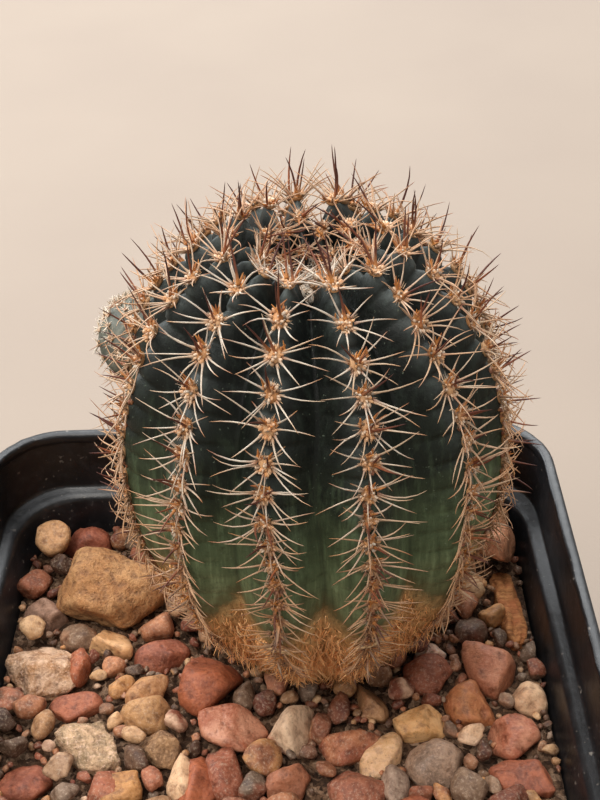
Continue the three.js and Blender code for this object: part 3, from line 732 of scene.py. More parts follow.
def cork_fringe():
    """Dry fibres that hang from the corky foot and flare out at its lower edge."""
    rng = np.random.default_rng(31)
    straws = [srgb(code) for code in ("d69a5c", "e2ae74", "b87c46", "eac492")]
    for name, count, spread, flare, reach in (
            ("cork_fibres", 8000, (1.4, 1.2), (0.08, 0.45), (1.0, 2.6)),
            ("cork_fringe", 6500, (1.2, 3.0), (0.4, 1.3), (1.6, 3.8))):
        batch = Batch()
        rib = rng.uniform(0, COUNT, count)
        band = cork_top(rib)
        arc = band * rng.beta(*spread, count)
        roots, normal, side, rise = crest_frame(rib, arc, areoles=False)
        clump = 0.7 * wavy(roots, 1.1, 32)[:, None]
        aim = normal * rng.uniform(*flare, (count, 1)) - rise
        aim = unit(aim + side * (clump + rng.normal(0, 0.3, (count, 1))))
        length = rng.uniform(*reach, (count, 1))
        length = length * np.interp(arc / band, [0, 0.8, 1], [1.1, 0.9, 0.5])[:, None]
        tips = roots + aim * length
        bend = (normal * rng.normal(0.1, 0.1, (count, 1)) + side * rng.normal(0, 0.08, (count, 1))) * length
        tone = pick(rng, count, *straws, spread=0.12) * 1.65
        width = rng.uniform(0.09, 0.15, count)
        tones = (tone * 0.9, tone, tone * 1.05)
        add_spines(batch, roots - normal * 0.1, tips, width, bend, tones, sides=3, rings=[0, 3, 5])
        batch.make(name, SPINE_FINISH, ())


stem_piece()
for rib_number in range(COUNT):
    areole_spines(rib_number)
crown_piece()
cork_fringe()


# ------------------------------------------------------------------ the offset
def offset_piece():
    rng = np.random.default_rng(11)
    low, high = box("offset_stem")
    centre, radius = (low + high) / 2, (high - low).max() / 2
    out = unit(np.array([centre[0] - AXIS[0], centre[1] - AXIS[1], 0]))
    centre, radius = centre + 2.0 * out, 1.08 * radius
    axis = unit(out + [0, 0, 1.0])
    first = unit(np.cross(axis, [0, 0, 1]))
    second = np.cross(axis, first)
    columns, rows = 144, 60
    order = np.arange(columns)
    down = math.pi * (0.004 + 0.992 * np.linspace(0, 1, rows))
    turn, polar = np.meshgrid(2 * math.pi * order / columns, down)
    dip = 0.09 * np.abs(np.sin(4.5 * turn)) ** 0.8 * np.sin(polar)

    def place(turn, polar, reach):
        reach = np.asarray(reach)[..., None]
        turn, polar = np.asarray(turn)[..., None], np.asarray(polar)[..., None]
        around = first * np.cos(turn) + second * np.sin(turn)
        return centre + reach * (axis * np.cos(polar) + np.sin(polar) * around)

    points = place(turn, polar, radius * (0.99 - dip))
    points = points + 0.05 * wavy(points, 1.4, 12)[..., None] * unit(points - centre)
    batch = Batch()
    batch.add(points, grid_quads(rows, columns)[:, ::-1])
    batch.cap(order, points[0].mean(0))
    batch.cap(((rows - 1) * columns + order)[::-1], points[-1].mean(0))
    shader = Shader("offset_skin", Roughness=0.6)
    mottled = shader.noise(1.3, 4, 0.65)
    colour = shader.ramp(mottled, [(0.3, "34382f"), (0.5, "54564b"), (0.72, "7c7a6c")])
    roughness = shader.ramp(mottled, [(0.3, 0.5), (0.7, 0.75)])
    finish = shader.finish(colour, roughness, shader.bump(mottled, 0.12))
    batch.make("offset_body", finish, ["offset_stem"])
    batch = Batch()
    for rib in range(9):
        around = 2 * math.pi * rib / 9
        for tilt in np.radians([8, 26, 44, 62, 80, 100]):
            tilt = tilt + 0.1 * (rib % 2)
            root = place(around, tilt, radius * 0.99)
            normal = unit(root - centre)
            if (root[:2] - AXIS) @ out[:2] < 24.0:      # inside the stem
                continue
            side = unit(np.cross(normal, axis + 0.01))
            rise = np.cross(side, normal)
            count = 11
            angle = rng.uniform(0, 2 * math.pi, count)
            lean = rng.uniform(0.25, 0.75, count)
            local = np.stack([np.cos(lean) * np.cos(angle), np.cos(lean) * np.sin(angle), np.sin(lean)], 1)
            length = rng.uniform(0.9, 1.9, count)
            axes = np.array([side, rise, normal])
            seat = root + (local * 0.25) @ axes
            tips = seat + (local * length[:, None]) @ axes
            add_spines(batch, seat, tips, rng.uniform(0.14, 0.22, count), np.zeros((count, 3)), (
                pick(rng, count, BEIGE, PINKISH), pick(rng, count, CREAM, BEIGE),
                pick(rng, count, CREAM, PALE_SPINE),
            ), sides=4)
            lumps = 6
            places = root + rng.normal(0, 0.2, (lumps, 3))
            size = np.eye(3)[None] * rng.uniform(0.16, 0.28, (lumps, 1, 1))
            add_lumps(batch, places, size, pick(rng, lumps, WOOL, TAN, CREAM))
    batch.make("offset_areoles_and_spines", SPINE_FINISH, ["offset_spines"])


offset_piece()


# ------------------------------------------------------------------ the pot
def square_ring(half, corner, z, per_corner=16, per_side=26):
    """A ring of points on a rounded square."""
    arcs = []
    for quarter in range(4):
        turn = math.radians(45 + 90 * quarter)
        middle = np.array([np.sign(math.cos(turn)), np.sign(math.sin(turn))]) * (half - corner)
        turns = np.radians(90 * quarter + np.linspace(0, 90, per_corner))
        arcs.append(middle + corner * np.stack([np.cos(turns), np.sin(turns)], 1))
    shares = np.linspace(0, 1, per_side + 2)[1:-1, None]
    ring = np.concatenate([
        part for here, there in zip(arcs, arcs[1:] + arcs[:1])
        for part in (here, here[-1] * (1 - shares) + there[0] * shares)])
    return np.column_stack([ring, np.full(len(ring), z)])


RIM, _, TOP = box("square_pot")[1]
RIM_CORNER, BASE_CORNER = 11.7, 7.5     # outside corner radii
BASE = 32.0                             # half the underside's width
WALL = 1.0
WALL_TOP, WALL_HEIGHT = 41.4, 67.6      # the wall's inside where it meets the ledge
LEDGE = 68.5
FLOOR = 1.4
DRAIN_RADIUS = 2.75


def inner_half(z):
    return np.interp(z, [FLOOR, WALL_HEIGHT], [BASE - WALL, WALL_TOP])


def inner_corner(z):
    return np.interp(z, [0, TOP], [BASE_CORNER, RIM_CORNER]) - WALL


def pot_piece():
    """The pot as one turned section: half width, corner radius and height of each ring."""
    wall_corner = inner_corner(WALL_HEIGHT) + WALL
    rows = [
        (0.5, 0.2, 0.0), (BASE * 0.4, 3, 0.0), (BASE * 0.8, 6, 0.0),
        (BASE - 1.2, 6.6, 0.0), (BASE - 0.35, 7.2, 0.12), (BASE, BASE_CORNER, 0.7),
    ]
    for z in np.linspace(4, 64, 16):
        half = np.interp(z, [0, 66.6], [BASE, WALL_TOP + 1])
        rows.append((half, np.interp(z, [0, 66.6], [BASE_CORNER, wall_corner]), z))
    rows += [(WALL_TOP + 0.95, wall_corner, 66.3), (WALL_TOP + 1.2, wall_corner, 66.75)]
    # The collar, over the rounded lip and down its inside: distance in from the rim, and height.
    for inset, z in (
            (0.4, 66.95), (0.08, 67.15), (0, 67.6), (0, 70), (0, 74), (0, 77.6), (0.02, 78.5), (0, 79.45),
            (0.1, 79.82), (0.38, 79.99), (0.85, TOP), (1.32, 79.98), (1.6, 79.84), (1.7, 79.5), (1.7, 78.9),
            (1.62, 78.55), (1.4, 78.25), (1.35, 77.8), (1.35, 75), (1.35, 72), (1.35, 69.2), (1.42, 68.72),
            (1.7, LEDGE)):
        rows.append((RIM - inset, RIM_CORNER - inset, z))
    rows += [
        (RIM - 2.6, 9.7, 68.25), (RIM - 3.3, 9.6, 67.85),
        (WALL_TOP + 0.12, wall_corner - WALL, 67.55), (WALL_TOP, inner_corner(67), 67.0),
    ]
    for z in np.linspace(62, 3, 12):
        rows.append((inner_half(z), inner_corner(z), z))
    rows += [
        (BASE - 1.35, 6.3, 1.7), (BASE - 2.2, 5.6, FLOOR), (BASE * 0.7, 4.6, FLOOR),
        (BASE * 0.35, 2.5, FLOOR), (0.5, 0.2, FLOOR),
    ]
    rings = np.array([square_ring(*row) for row in rows])
    count = rings.shape[1]
    # Hand-made edges: the lip's inner edge is a little uneven, and long walls aren't dead flat.
    lip = (rings[..., 2] > 78.2) & (np.abs(rings[..., :2]).max(-1) < RIM - 1.0)
    wander = 0.05 * wavy(rings, 3.0, 21) + 0.04 * wavy(rings, 0.9, 22)
    inward = -unit(rings * [1, 1, 0])
    rings = rings + inward * (wander * lip)[..., None]
    wall = np.clip((rings[..., 2] - 3) / 20, 0, 1) * np.clip((78 - rings[..., 2]) / 10, 0, 1)
    rings = rings + inward * (0.10 * (wavy(rings, 30, 23) + 1.5) * wall)[..., None]
    batch = Batch()
    batch.add(rings.reshape(-1, 3), grid_quads(len(rows), count))
    batch.cap(np.arange(count)[::-1], [0, 0, 0])
    batch.cap((len(rows) - 1) * count + np.arange(count), [0, 0, FLOOR])
    pot = batch.make("nursery_pot", pot_material(), ["square_pot"])
    # Eight drain holes cut through the floor.
    cutters = Batch()
    steps = 32
    turn = 2 * math.pi * np.arange(steps) / steps
    reach = BASE * 0.68
    for column in (-1, 0, 1):
        for line in (-1, 0, 1):
            if column or line:
                x = reach * column + DRAIN_RADIUS * np.cos(turn)
                y = reach * line + DRAIN_RADIUS * np.sin(turn)
                tube = np.concatenate([np.column_stack([x, y, np.full(steps, z)]) for z in (-1.0, FLOOR + 1)])
                caps = [[0, k + 1, k] for k in range(1, steps - 1)]
                caps += [[steps, steps + k, steps + k + 1] for k in range(1, steps - 1)]
                cutters.add(tube, grid_quads(2, steps), caps)
    tool = cutters.make("drain_cutter", pot.data.materials[0])
    cut = pot.modifiers.new("drains", "BOOLEAN")
    cut.operation, cut.object, cut.solver = "DIFFERENCE", tool, "EXACT"
    evaluated = pot.evaluated_get(bpy.context.evaluated_depsgraph_get())
    mesh = bpy.data.meshes.new_from_object(evaluated)
    pot.modifiers.clear()
    pot.data = mesh
    bpy.data.objects.remove(tool)
    mesh.set_sharp_from_angle(angle=math.radians(50))
    return pot


def pot_material():
    shader = Shader("black_plastic", Specular_IOR_Level=0.5)
    grain = shader.noise(0.5, 4, 0.7)
    smudge = shader.noise(9, 4, 0.65)
    specks = shader.noise(0.9, 2, 0.5)
    colour = shader.ramp(smudge, [(0.3, "0e0e10"), (0.7, "1b1c1f")])
    dust = shader.ramp(specks, [(0.68, 0.0), (0.74, 1.0)])
    dust = shader.math("MULTIPLY", dust, shader.ramp(smudge, [(0.4, 0.15), (0.62, 0.8)]))
    colour = shader.mix(dust, colour, "847c74")
    colour = shader.lay(colour, "5c5a5c", shader.noise(3.2, 5, 0.75), (0.5, 0.0), (0.8, 0.22))
    roughness = shader.ramp(smudge, [(0.25, 0.28), (0.75, 0.46)])
    relief = shader.bump(grain, 0.035)
    relief = shader.bump(shader.noise(4, 2, 0.5), 0.12, relief)
    return shader.finish(colour, roughness, relief)


pot_piece()


# ------------------------------------------------------------------ gravel
def stone_form(seed, level, facets=9, edge=22.0, lumps=0.035, grit=0.012):
    """A worn stone of about unit size: a ball cut by flats, then roughened."""
    rng = np.random.default_rng(seed)
    points, tris = BALLS[level]
    flats = unit(rng.normal(size=(facets, 3)))
    depths = rng.uniform(0.5, 0.86, facets)
    reach = depths / np.maximum(points @ flats.T, 0.12)
    radius = ((reach ** -edge).sum(1) + 1.0) ** (-1 / edge)
    shape = points * radius[:, None]
    shape = shape * (1 + lumps * wavy(shape, 0.7, seed + 1) + grit * wavy(shape, 0.16, seed + 2))[:, None]
    low, high = shape.min(0), shape.max(0)
    return (shape - (low + high) / 2) / ((high - low) / 2), tris


def turned(angle, tilt_x=0.0, tilt_y=0.0):
    spin = Matrix.Rotation(angle, 3, "Z") @ Matrix.Rotation(tilt_x, 3, "X") @ Matrix.Rotation(tilt_y, 3, "Y")
    return np.array(spin)


def node_lie(node):
    """Middle, half sizes and turn of a stone's CAD solid."""
    points = np.array([v.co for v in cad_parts[node].data.vertices]) / MM
    low, high = points.min(0), points.max(0)
    flat = points[:, :2] - points[:, :2].mean(0)
    values, vectors = np.linalg.eigh(flat.T @ flat)
    major = vectors[:, 1]
    angle = math.atan2(major[1], major[0])
    local = flat @ np.array([[math.cos(angle), -math.sin(angle)], [math.sin(angle), math.cos(angle)]])
    half = (local.max(0) - local.min(0)) / 2
    return (low + high) / 2, np.array([half[0], half[1], (high[2] - low[2]) / 2]), angle


def stone_material(name, base, second, third, patch=3.0, speck=0.35, bands=None,
                   gloss=0.55, relief=0.12, clear=0.0):
    """Stone with soft patches of a second colour, grains of a third, and bands if asked for."""
    shader = Shader(name, Specular_IOR_Level=0.4)
    if clear:
        shader.surface.inputs["Subsurface Weight"].default_value = clear
        shader.surface.inputs["Subsurface Radius"].default_value = (0.9 * MM, 0.7 * MM, 0.55 * MM)
        shader.surface.inputs["Subsurface Scale"].default_value = 1.0
    patches = shader.noise(patch, 4, 0.62, warp=0.4)
    fine = shader.noise(0.45, 4, 0.7)
    medium = shader.noise(1.5, 3, 0.6)
    colour = shader.lay(base, second, patches, (0.4, 0.0), (0.6, 1.0))
    if bands:
        direction, stops = bands
        flow = shader.node("ShaderNodeVectorMath", operation="DOT_PRODUCT")
        shader.feed(flow.inputs[0], shader.place)
        flow.inputs[1].default_value = tuple(d / MM for d in direction[:3])
        level = shader.math("ADD", flow.outputs["Value"], direction[3])
        level = shader.swayed(level, medium, 0.4)
        colour = shader.mix(0.85, colour, shader.ramp(level, stops))
    colour = shader.lay(colour, shader.tinted(colour, "968478"), medium, (0.28, 0.8), (0.52, 0.0))
    colour = shader.lay(colour, third, fine, (0.5, 0.0), (0.72, speck))
    colour = shader.lay(colour, shader.tinted(colour, "6e5c52"), fine, (0.26, 0.8), (0.42, 0.0))
    normal = shader.bump(fine, relief)
    normal = shader.bump(medium, 2.2 * relief, normal)
    return shader.finish(colour, shader.ramp(medium, [(0.3, gloss - 0.1), (0.7, gloss + 0.15)]), normal)


# Each stone: base, patch and grain colour, then what else sets it apart.
LOOKS = {
    "ochre_cobble": ("b48e60 a67444 ceae80", dict(
        patch=5, relief=0.35, gloss=0.75, facets=26, edge=14, lumps=0.075, grit=0.02)),
    "cream_pebble": ("daba8c cea06c d6c4aa", dict(gloss=0.6, lumps=0.04)),
    "white_rough": ("cec0aa b08a66 e8e2d8", dict(
        patch=2.2, relief=0.35, gloss=0.8, lumps=0.08, grit=0.03, speck=0.6)),
    "cream_lichen": ("c8ba9c 948c70 e8e2d8", dict(
        patch=1.8, relief=0.4, gloss=0.7, lumps=0.09, grit=0.035, speck=0.7)),
    "red_bean": ("a65842 8a4232 ce967e", dict(gloss=0.5)),
    "red_slab": ("b06048 924a38 d2967c", dict()),
    "big_red": ("b65c3c 964830 d08c6a", dict(gloss=0.5)),
    "red_oval": ("ac5c44 c48c78 dabcaa", dict(gloss=0.45, patch=4)),
    "tan_wedge": ("be9262 a07048 d6c4aa", dict()),
    "banded_red": ("b2684c c08c74 d6c4aa", dict(
        bands=(
            (0.16, 0.10, 0.12, -6.5),
            [(0.2, "a86c58"), (0.5, "b25c3e"), (0.75, "d6b898")]))),
    "brown_red": ("ac684e 8a503c c49c86", dict()),
    "cream_oval": ("d4be9c c6a87c e8e2d8", dict(gloss=0.45, lumps=0.02, clear=0.3)),
    "tan_oval": ("b28c64 966a48 d6c4aa", dict()),
    "quartz_chip": ("e8e0d8 d6c8bc e8e2d8", dict(gloss=0.35, clear=0.5, edge=18)),
    "ochre_flat": ("cc9e62 d6b684 e6cea4", dict(gloss=0.5, clear=0.2)),
    "grey_clear": ("9c9082 786e64 c8c0b4", dict(gloss=0.4, clear=0.4, speck=0.5)),
    "orange_egg": ("c27c4e b0623c deb088", dict(gloss=0.5)),
    "pink_cobble": ("c07c62 b2664e dcb29e", dict(gloss=0.5)),
    "red_round": ("aa5a46 c0826c daac98", dict(gloss=0.45)),
    "red_long": ("b05e46 904836 c48a74", dict()),
    "red_back": ("a85644 8e4234 ce927c", dict()),
    "green_grey": ("928662 746a4e beb08c", dict(gloss=0.6)),
    "tan_grain": ("a28460 7c624a ceb896", dict(relief=0.3, gloss=0.75, grit=0.03, speck=0.6)),
    "red_left": ("a0523e 843e30 c68a72", dict()),
    "grey_pink": ("9e8476 80685c c4b0a2", dict(gloss=0.6)),
    "amber_left": ("c09056 a4703e e0be8e", dict(clear=0.2)),
    "red_front_left": ("b85c3a 92442e c48268", dict(gloss=0.5)),
    "tan_front": ("ba966c 9e7650 d6c4aa", dict()),
    "cream_front": ("d2bc98 b89870 e8e2d8", dict(grit=0.02)),
    "rose_front": ("b4705c 9e5846 d4aa96", dict()),
    "ochre_front": ("c89c60 b47e46 e2c696", dict()),
    "brick_front": ("b2583a 8c422e be7e68", dict()),
    "grey_front": ("9e9488 7c7268 c6beb2", dict(speck=0.5)),
    "brick_corner": ("b45c3e 8e4430 c48870", dict()),
    "orange_edge": ("be784c a65e38 daaa80", dict()),
    "cream_edge": ("d6c2a0 bca07a e8e2d8", dict()),
    "red_edge": ("a65440 8a4030 cc8e76", dict()),
    "amber_corner": ("be9058 a06e40 debe8e", dict()),
}

# A height map of the gravel, so that stones don't share a place.
HALF = 42.0
CELL = 0.4
WIDE = int(2 * HALF / CELL)
heap = np.full((WIDE, WIDE), 58.8)
GRIT_TOP = 61.2
EARTH = srgb("c68452")
LIGHTNESS = np.array([0.2126, 0.7152, 0.0722])


def earthy(tone):
    """A stone's colour drawn a little towards the warm brown that tints all of this gravel."""
    tone = np.asarray(tone, float)
    brown = EARTH / (EARTH @ LIGHTNESS) * (tone @ LIGHTNESS)[..., None]
    return 0.90 * (0.66 * tone + 0.34 * brown)


def raise_heap(points):
    """Lays a stone's upper side on the height map."""
    spot = np.clip(((points[:, :2] + HALF) / CELL).astype(int), 0, WIDE - 1)
    for shift_x in (0, 1):
        for shift_y in (0, 1):
            cells = np.minimum(spot + [shift_x, shift_y], WIDE - 1)
            np.maximum.at(heap, (cells[:, 0], cells[:, 1]), points[:, 2])


def big_stones():
    """The larger stones, each in its CAD solid's place but a little fuller, so that they crowd together."""
    for seed, (label, (codes, more)) in enumerate(LOOKS.items()):
        node = f"stone_{label}"
        centre, half, angle = node_lie(node)
        form = {k: more.pop(k) for k in ("facets", "edge", "lumps", "grit") if k in more}
        rng = np.random.default_rng(900 + seed)
        level = 5 if half[0] > 7 else 4
        shape, tris = stone_form(2000 + seed, level, **form)
        half = half * [1.08, 1.10, 1.06]
        if label == "ochre_cobble":
            centre, half = centre + [-1.2, -0.2, 0], half * [1.07, 1.10, 1]
        tilt = rng.normal(0, 0.10, 2)
        points = centre + (shape * half) @ turned(angle, *tilt).T
        raise_heap(points)
        finish = stone_material(node, *(earthy(srgb(code)) for code in codes.split()), **more)
        batch = Batch()
        batch.add(points, None, tris)
        batch.make(node + "_worn", finish, [node])


def bark_piece():
    centre, half, angle = node_lie("bark_chip")
    rows, columns = 90, 40
    order = np.arange(columns)
    t, turn = np.meshgrid(np.linspace(-1, 1, rows), 2 * math.pi * order / columns, indexing="ij")
    taper = np.clip(1 - np.abs(t) ** 5, 0.02, 1) ** 0.5
    x = half[0] * t
    square = (np.abs(np.cos(turn)) ** 5 + np.abs(np.sin(turn)) ** 5) ** (-1 / 5)
    y = half[1] * 0.86 * taper * square * np.cos(turn) + 0.5 * np.sin(2.4 * t)
    z = half[2] * 0.9 * taper * square * np.sin(turn)
    points = np.stack([x, y, z], -1)
    ridges = 0.12 * wavy(points * [0.25, 1, 1], 0.8, 41) + 0.10 * wavy(points * [0.2, 1, 1], 0.35, 42)
    points += unit(points * [0, 1, 1]) * ridges[..., None]
    points = centre + points @ turned(angle, 0.1, 0.05).T
    batch = Batch()
    batch.add(points, grid_quads(rows, columns)[:, ::-1])
    batch.cap(order, points[0].mean(0))
    batch.cap(((rows - 1) * columns + order)[::-1], points[-1].mean(0))
    raise_heap(points.reshape(-1, 3))
    shader = Shader("bark", Roughness=0.8)
    fibres = shader.noise(0.5, 4, 0.7, shader.stretched((0.14, 1, 1), -angle))
    colour = shader.ramp(fibres, [(0.3, "603820"), (0.45, "9c6234"), (0.62, "c4864c"), (0.8, "d8aa70")])
    colour = shader.lay(colour, "be6a3c", shader.noise(3, 3, 0.6), (0.45, 0.0), (0.7, 0.6))
    finish = shader.finish(colour, shader.ramp(fibres, [(0.3, 0.9), (0.7, 0.65)]), shader.bump(fibres, 0.4))
    batch.make("bark_strip", finish, ["bark_chip"])


PALETTE = np.array([srgb(code) for code in (
    "964c38", "843e2e", "b06850", "be8260", "c69660", "ceb48c", "a88460",
    "8c7a68", "6e5848", "d8cab4", "7a7064", "604232", "ba7654", "a05a42")])
ODDS = np.array([8, 6, 6, 7, 7, 6, 11, 9, 9, 4, 6, 8, 7, 6], float)

# Stones heaped against the walls: place, size across and along, top, colour.
HEAPED = [
    (36.0, 29.5, 6.5, 8.0, 69.5, "de9c7a"), (35.4, 35.6, 6.5, 6.5, 70.5, "e6ac88"),
    (31.0, 37.6, 7.0, 6.0, 69.0, "c87e62"), (-35.8, 34.4, 6.0, 6.0, 68.0, "c49c70"),
    (-38.0, 28.0, 5.5, 7.0, 67.2, "7a6658"), (-38.2, 20.5, 5.5, 8.0, 67.0, "a47e62"),
    (-38.3, 12.5, 5.5, 7.5, 66.6, "946c50"), (-38.0, 4.0, 5.5, 8.0, 66.2, "aa7856"),
    (-30.5, 38.0, 7.0, 5.5, 67.6, "ceb088"), (-23.0, 38.2, 6.5, 5.5, 66.6, "965c46"),
]
# Small stones that show between the larger ones: place, size across and along, turn, colour.
SHOWN = [
    (-28.6, 9.6, 3.2, 7, 5, "b25c3e"), (-6.3, -9.9, 5, 8, 10, "a05440"), (23.5, 6.2, 7, 6, 0, "a45a46"),
    (37.3, 1.5, 5, 5.5, 0, "d0bea0"), (11.3, -6, 9, 5.5, 0, "a25642"),
    (11.9, -12.9, 8.5, 7.4, 20, "9c5846"), (-11.9, -10.5, 4, 7, 0, "d2be9e"), (-40, 37, 5, 5, 0, "ba9686"),
    (38.3, 38, 5, 7, 0, "aa785a"), (-17.8, 1.3, 7.5, 6.4, 0, "b89264"), (-21.3, -11.8, 6.5, 6, 0, "a45640"),
    (17, -13, 3.7, 6, 0, "968e84"), (38.6, 23.6, 4.4, 7, 0, "d4c4ac"), (10.6, 6, 4, 4, 0, "8c847a"),
]


def crest_radius(z):
    outside = LINE[:np.argmax(LINE[:, 0])]
    return np.interp(z, outside[:, 1], outside[:, 0])


def footprint(x, y, half, angle, shrink):
    """The part of the height map under a stone, and the stone's upper half there."""
    reach = int(math.ceil(half[:2].max() / CELL))
    column, row = int((x + HALF) / CELL), int((y + HALF) / CELL)
    columns = slice(max(column - reach, 0), min(column + reach + 1, WIDE))
    rows = slice(max(row - reach, 0), min(row + reach + 1, WIDE))
    places = np.arange(WIDE) * CELL + 0.5 * CELL - HALF
    cx, cy = np.meshgrid(places[columns] - x, places[rows] - y, indexing="ij")
    u = (cx * math.cos(angle) + cy * math.sin(angle)) / half[0]
    v = (cy * math.cos(angle) - cx * math.sin(angle)) / half[1]
    off = (u ** 2 + v ** 2) / shrink ** 2
    return (columns, rows), off < 1, half[2] * np.sqrt(np.clip(1 - u ** 2 - v ** 2, 0, 1))


def small_stones():
    """Stones that fill the gaps: each class settles between the larger ones already there."""
    rng = np.random.default_rng(1234)
    # Name, detail, most stones, tries, half sizes, share of the footprint kept free, heights of the tops.
    classes = (
        ("coarse", 3, 420, 4200, (1.9, 3.4), 0.68, (64.0, 65.8)),
        ("medium", 3, 580, 4600, (1.1, 2.0), 0.70, (63.0, 64.4)),
        ("fine", 2, 2000, 7000, (0.45, 1.0), 0.75, (62.0, 63.4)),
    )
    for label, level, most, count, sizes, shrink, tops in classes:
        batch = Batch()
        wanted = []
        if label == "coarse":
            wanted += [(x, y, w / 2, d / 2, math.radians(t), 65.0, srgb(c)) for x, y, w, d, t, c in SHOWN]
            wanted += [(x, y, w / 2, d / 2, 0.0, top, srgb(c)) for x, y, w, d, top, c in HEAPED]
        kept = 0
        for number in range(count + len(wanted)):
            if kept >= most:
                break
            if number < len(wanted):
                x, y, across, deep, angle, top, tone = wanted[number]
                half = np.array([across, deep, 0.42 * (across + deep)]) * 1.05
                room = 99
            else:
                half = rng.uniform(*sizes) * rng.uniform([0.85, 0.65, 0.55], [1.3, 1.0, 0.85])
                angle = rng.uniform(0, math.pi)
                tone = PALETTE[rng.choice(len(PALETTE), p=ODDS / ODDS.sum())] * rng.uniform(0.6, 1.05)
                if label == "fine":
                    tone = tone * 1.05
                x, y = rng.uniform(-41.0, 41.0, 2)
                top = rng.uniform(*tops)
                room = min(top - 0.5 * half[2], GRIT_TOP + 1)
            over = np.abs([x, y]) - (inner_half(62) - inner_corner(62))
            reach = half[:2].max()
            if np.hypot(*np.maximum(over, 0)) > inner_corner(62) - 0.7 * reach:
                continue
            if np.abs([x, y]).max() > inner_half(61) - 0.75 * reach:
                continue
            away = math.hypot(x - AXIS[0], y - AXIS[1])
            if away < crest_radius(62.5 if label == "fine" else 64.0) + 0.5 * reach:
                continue
            window, inside, cap = footprint(x, y, half, angle, shrink)
            if heap[window][inside].max() > room:
                continue
            z = top - half[2]
            patch = heap[window]
            patch[cap > 0] = np.maximum(patch, z + cap)[cap > 0]
            kept += 1
            grit = 0.0 if level < 3 else 0.012
            shape, tris = stone_form(7000 + 131 * number + level, level, facets=8, edge=30, grit=grit)
            points = np.array([x, y, z]) + (shape * half) @ turned(angle, *rng.normal(0, 0.16, 2)).T
            second = PALETTE[rng.integers(len(PALETTE))]
            blend = np.clip(0.5 + 0.8 * wavy(points, 1.8, number), 0, 1)[:, None]
            blend = blend * rng.choice([0.0, 0.35, 0.8], p=[0.5, 0.35, 0.15])
            batch.add(points, None, tris, earthy(tone * (1 - blend) + second * blend))
        replaces = ["fine_gravel"] if label == "coarse" else ()
        batch.make(f"gravel_{label}", GRAVEL_FINISH, replaces)


def gravel_material():
    shader = Shader("fine_gravel", Specular_IOR_Level=0.4)
    tint = shader.tint()
    fine = shader.noise(0.4, 4, 0.7)
    medium = shader.noise(1.3, 3, 0.6)
    colour = shader.lay(tint, shader.tinted(tint, "967e6e"), medium, (0.3, 0.8), (0.55, 0.0))
    colour = shader.lay(colour, "dac6ac", fine, (0.52, 0.0), (0.74, 0.4))
    colour = shader.lay(colour, shader.tinted(colour, "6e5a50"), fine, (0.26, 0.8), (0.42, 0.0))
    normal = shader.bump(medium, 0.22, shader.bump(fine, 0.1))
    return shader.finish(colour, shader.ramp(medium, [(0.3, 0.48), (0.7, 0.75)]), normal)


GRAVEL_FINISH = gravel_material()


def layer_piece(name, low, high, uneven, finish, replaces):
    """A filling of the pot between two heights, with an uneven top."""
    def ring(z, share=1.0):
        made = square_ring(inner_half(z) - 0.35, inner_corner(z), z, 10, 26)
        made[:, :2] *= share
        return made

    shares = np.concatenate([[0.004], np.linspace(0.04, 1, 26)])
    top = np.array([ring(high, share) for share in shares])
    lift = uneven * (0.7 * wavy(top, 1.2, 61) + 0.6 * wavy(top, 3.5, 62) + 0.6 * wavy(top, 0.6, 63))
    edge = np.clip((1 - shares) * 12, 0.15, 1)[:, None]
    top[..., 2] += np.clip(lift, -2 * uneven, 1.6 * uneven) * edge
    sides = [ring(z) for z in np.linspace(high - 0.6, low, 5)]
    under = [ring(low, share) for share in (0.8, 0.5, 0.2, 0.01)]
    rows = np.concatenate([top, sides, under])
    count = rows.shape[1]
    batch = Batch()
    batch.add(rows.reshape(-1, 3), grid_quads(len(rows), count)[:, ::-1])
    batch.cap(np.arange(count), rows[0].mean(0))
    batch.cap(((len(rows) - 1) * count + np.arange(count))[::-1], rows[-1].mean(0))
    return batch.make(name, finish, replaces)


def soil_material(name, tones):
    shader = Shader(name, Roughness=0.95, Specular_IOR_Level=0.2)
    colour = shader.ramp(shader.split(shader.cells(0.7, "Color"))[0], tones)
    fine = shader.noise(0.5, 5, 0.75)
    colour = shader.lay(colour, "18110d", fine, (0.3, 0.85), (0.6, 0.0))
    height = shader.math("SUBTRACT", fine, shader.math("MULTIPLY", shader.cells(0.7), 0.8))
    return shader.finish(colour, 0.95, shader.bump(height, 0.5))


grit = soil_material("grit_soil", [(0.0, "402e22"), (0.45, "624836"), (0.7, "86664e"), (0.9, "a8886e")])
layer_piece("grit_bed", box("fine_gravel")[0][2], GRIT_TOP, 0.45, grit, ())
soil = soil_material("potting_soil", [(0.0, "1e1611"), (0.6, "30231b"), (0.9, "4e3a2c")])
soil_low, soil_high = (corner[2] for corner in box("potting_soil"))
layer_piece("potting_soil_fill", soil_low, soil_high, 0.05, soil, ["potting_soil"])
big_stones()
bark_piece()
small_stones()


# ------------------------------------------------------------------ floor, light and camera
def floor_piece():
    reach = 2.5
    corners = [(-reach, -reach, 0), (reach, -reach, 0), (reach, reach, 0), (-reach, reach, 0)]
    mesh = bpy.data.meshes.new("floor")
    mesh.from_pydata(corners, [], [(0, 1, 2, 3)])
    plane = bpy.data.objects.new("floor", mesh)
    bpy.context.scene.collection.objects.link(plane)
    shader = Shader("pale_floor", Roughness=0.85)
    broad = shader.noise(120, 3, 0.5)
    colour = shader.ramp(broad, [(0.3, "8e8074"), (0.7, "948679")])
    mesh.materials.append(shader.finish(colour, 0.85, shader.bump(shader.noise(0.8, 3, 0.6), 0.05)))


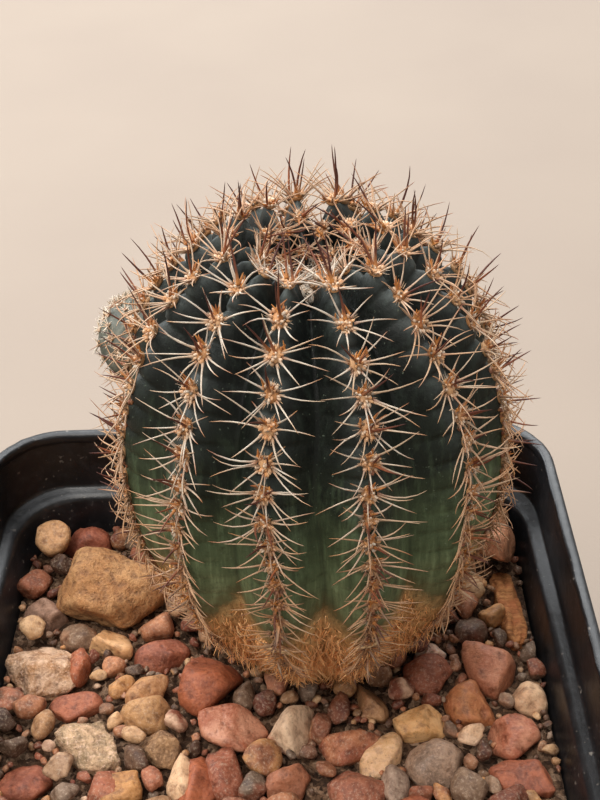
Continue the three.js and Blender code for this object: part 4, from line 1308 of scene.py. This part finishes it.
def area_light(name, place, size, power, colour, target=(0, 0, 0.08)):
    """A round soft light; place and size in metres, power in watts."""
    data = bpy.data.lights.new(name, "AREA")
    data.shape, data.size, data.energy, data.color = "DISK", size, power, colour
    lamp = bpy.data.objects.new(name, data)
    bpy.context.scene.collection.objects.link(lamp)
    lamp.location = place
    aim = Vector(target) - Vector(place)
    lamp.rotation_mode = "QUATERNION"
    lamp.rotation_quaternion = aim.to_track_quat("-Z", "Y")


def studio():
    world = bpy.data.worlds.new("studio")
    bpy.context.scene.world = world
    world.use_nodes = True
    backdrop = world.node_tree.nodes["Background"]
    backdrop.inputs["Color"].default_value = (1.0, 0.985, 0.96, 1)
    backdrop.inputs["Strength"].default_value = 0.55
    area_light("key", (-0.30, -0.22, 0.72), 0.40, 3.6, (1.0, 0.95, 0.88))
    area_light("back_softbox", (0.10, 0.75, 0.62), 0.75, 8.0, (0.95, 0.98, 1.0))
    area_light("left_softbox", (-0.62, 0.55, 0.50), 0.60, 7.0, (0.93, 0.97, 1.0))
    area_light("overhead", (-0.1, 0.15, 0.95), 0.8, 5.0, (0.96, 0.98, 1.0))
    area_light("fill", (0.55, -0.55, 0.45), 0.6, 0.8, (1.0, 0.95, 0.9))


def camera():
    data = bpy.data.cameras.new("camera")
    data.lens, data.sensor_width, data.sensor_fit = 54, 36, "AUTO"
    data.clip_start, data.clip_end = 0.01, 20
    eye = bpy.data.objects.new("camera", data)
    bpy.context.scene.collection.objects.link(eye)
    yaw, pitch, roll = (math.radians(a) for a in (0.79, 38.0, -2.26))
    forward = Vector((-math.sin(yaw) * math.cos(pitch), math.cos(yaw) * math.cos(pitch), -math.sin(pitch)))
    right = Vector((math.cos(yaw), math.sin(yaw), 0))
    up = right.cross(forward)
    across = math.cos(roll) * right + math.sin(roll) * up
    upright = -math.sin(roll) * right + math.cos(roll) * up
    eye.matrix_world = Matrix((
        (across.x, upright.x, -forward.x, 0.00762),
        (across.y, upright.y, -forward.y, -0.10791),
        (across.z, upright.z, -forward.z, 0.20403),
        (0, 0, 0, 1),
    ))
    bpy.context.scene.camera = eye


floor_piece()
studio()
camera()
bpy.context.scene.view_settings.view_transform = "Standard"
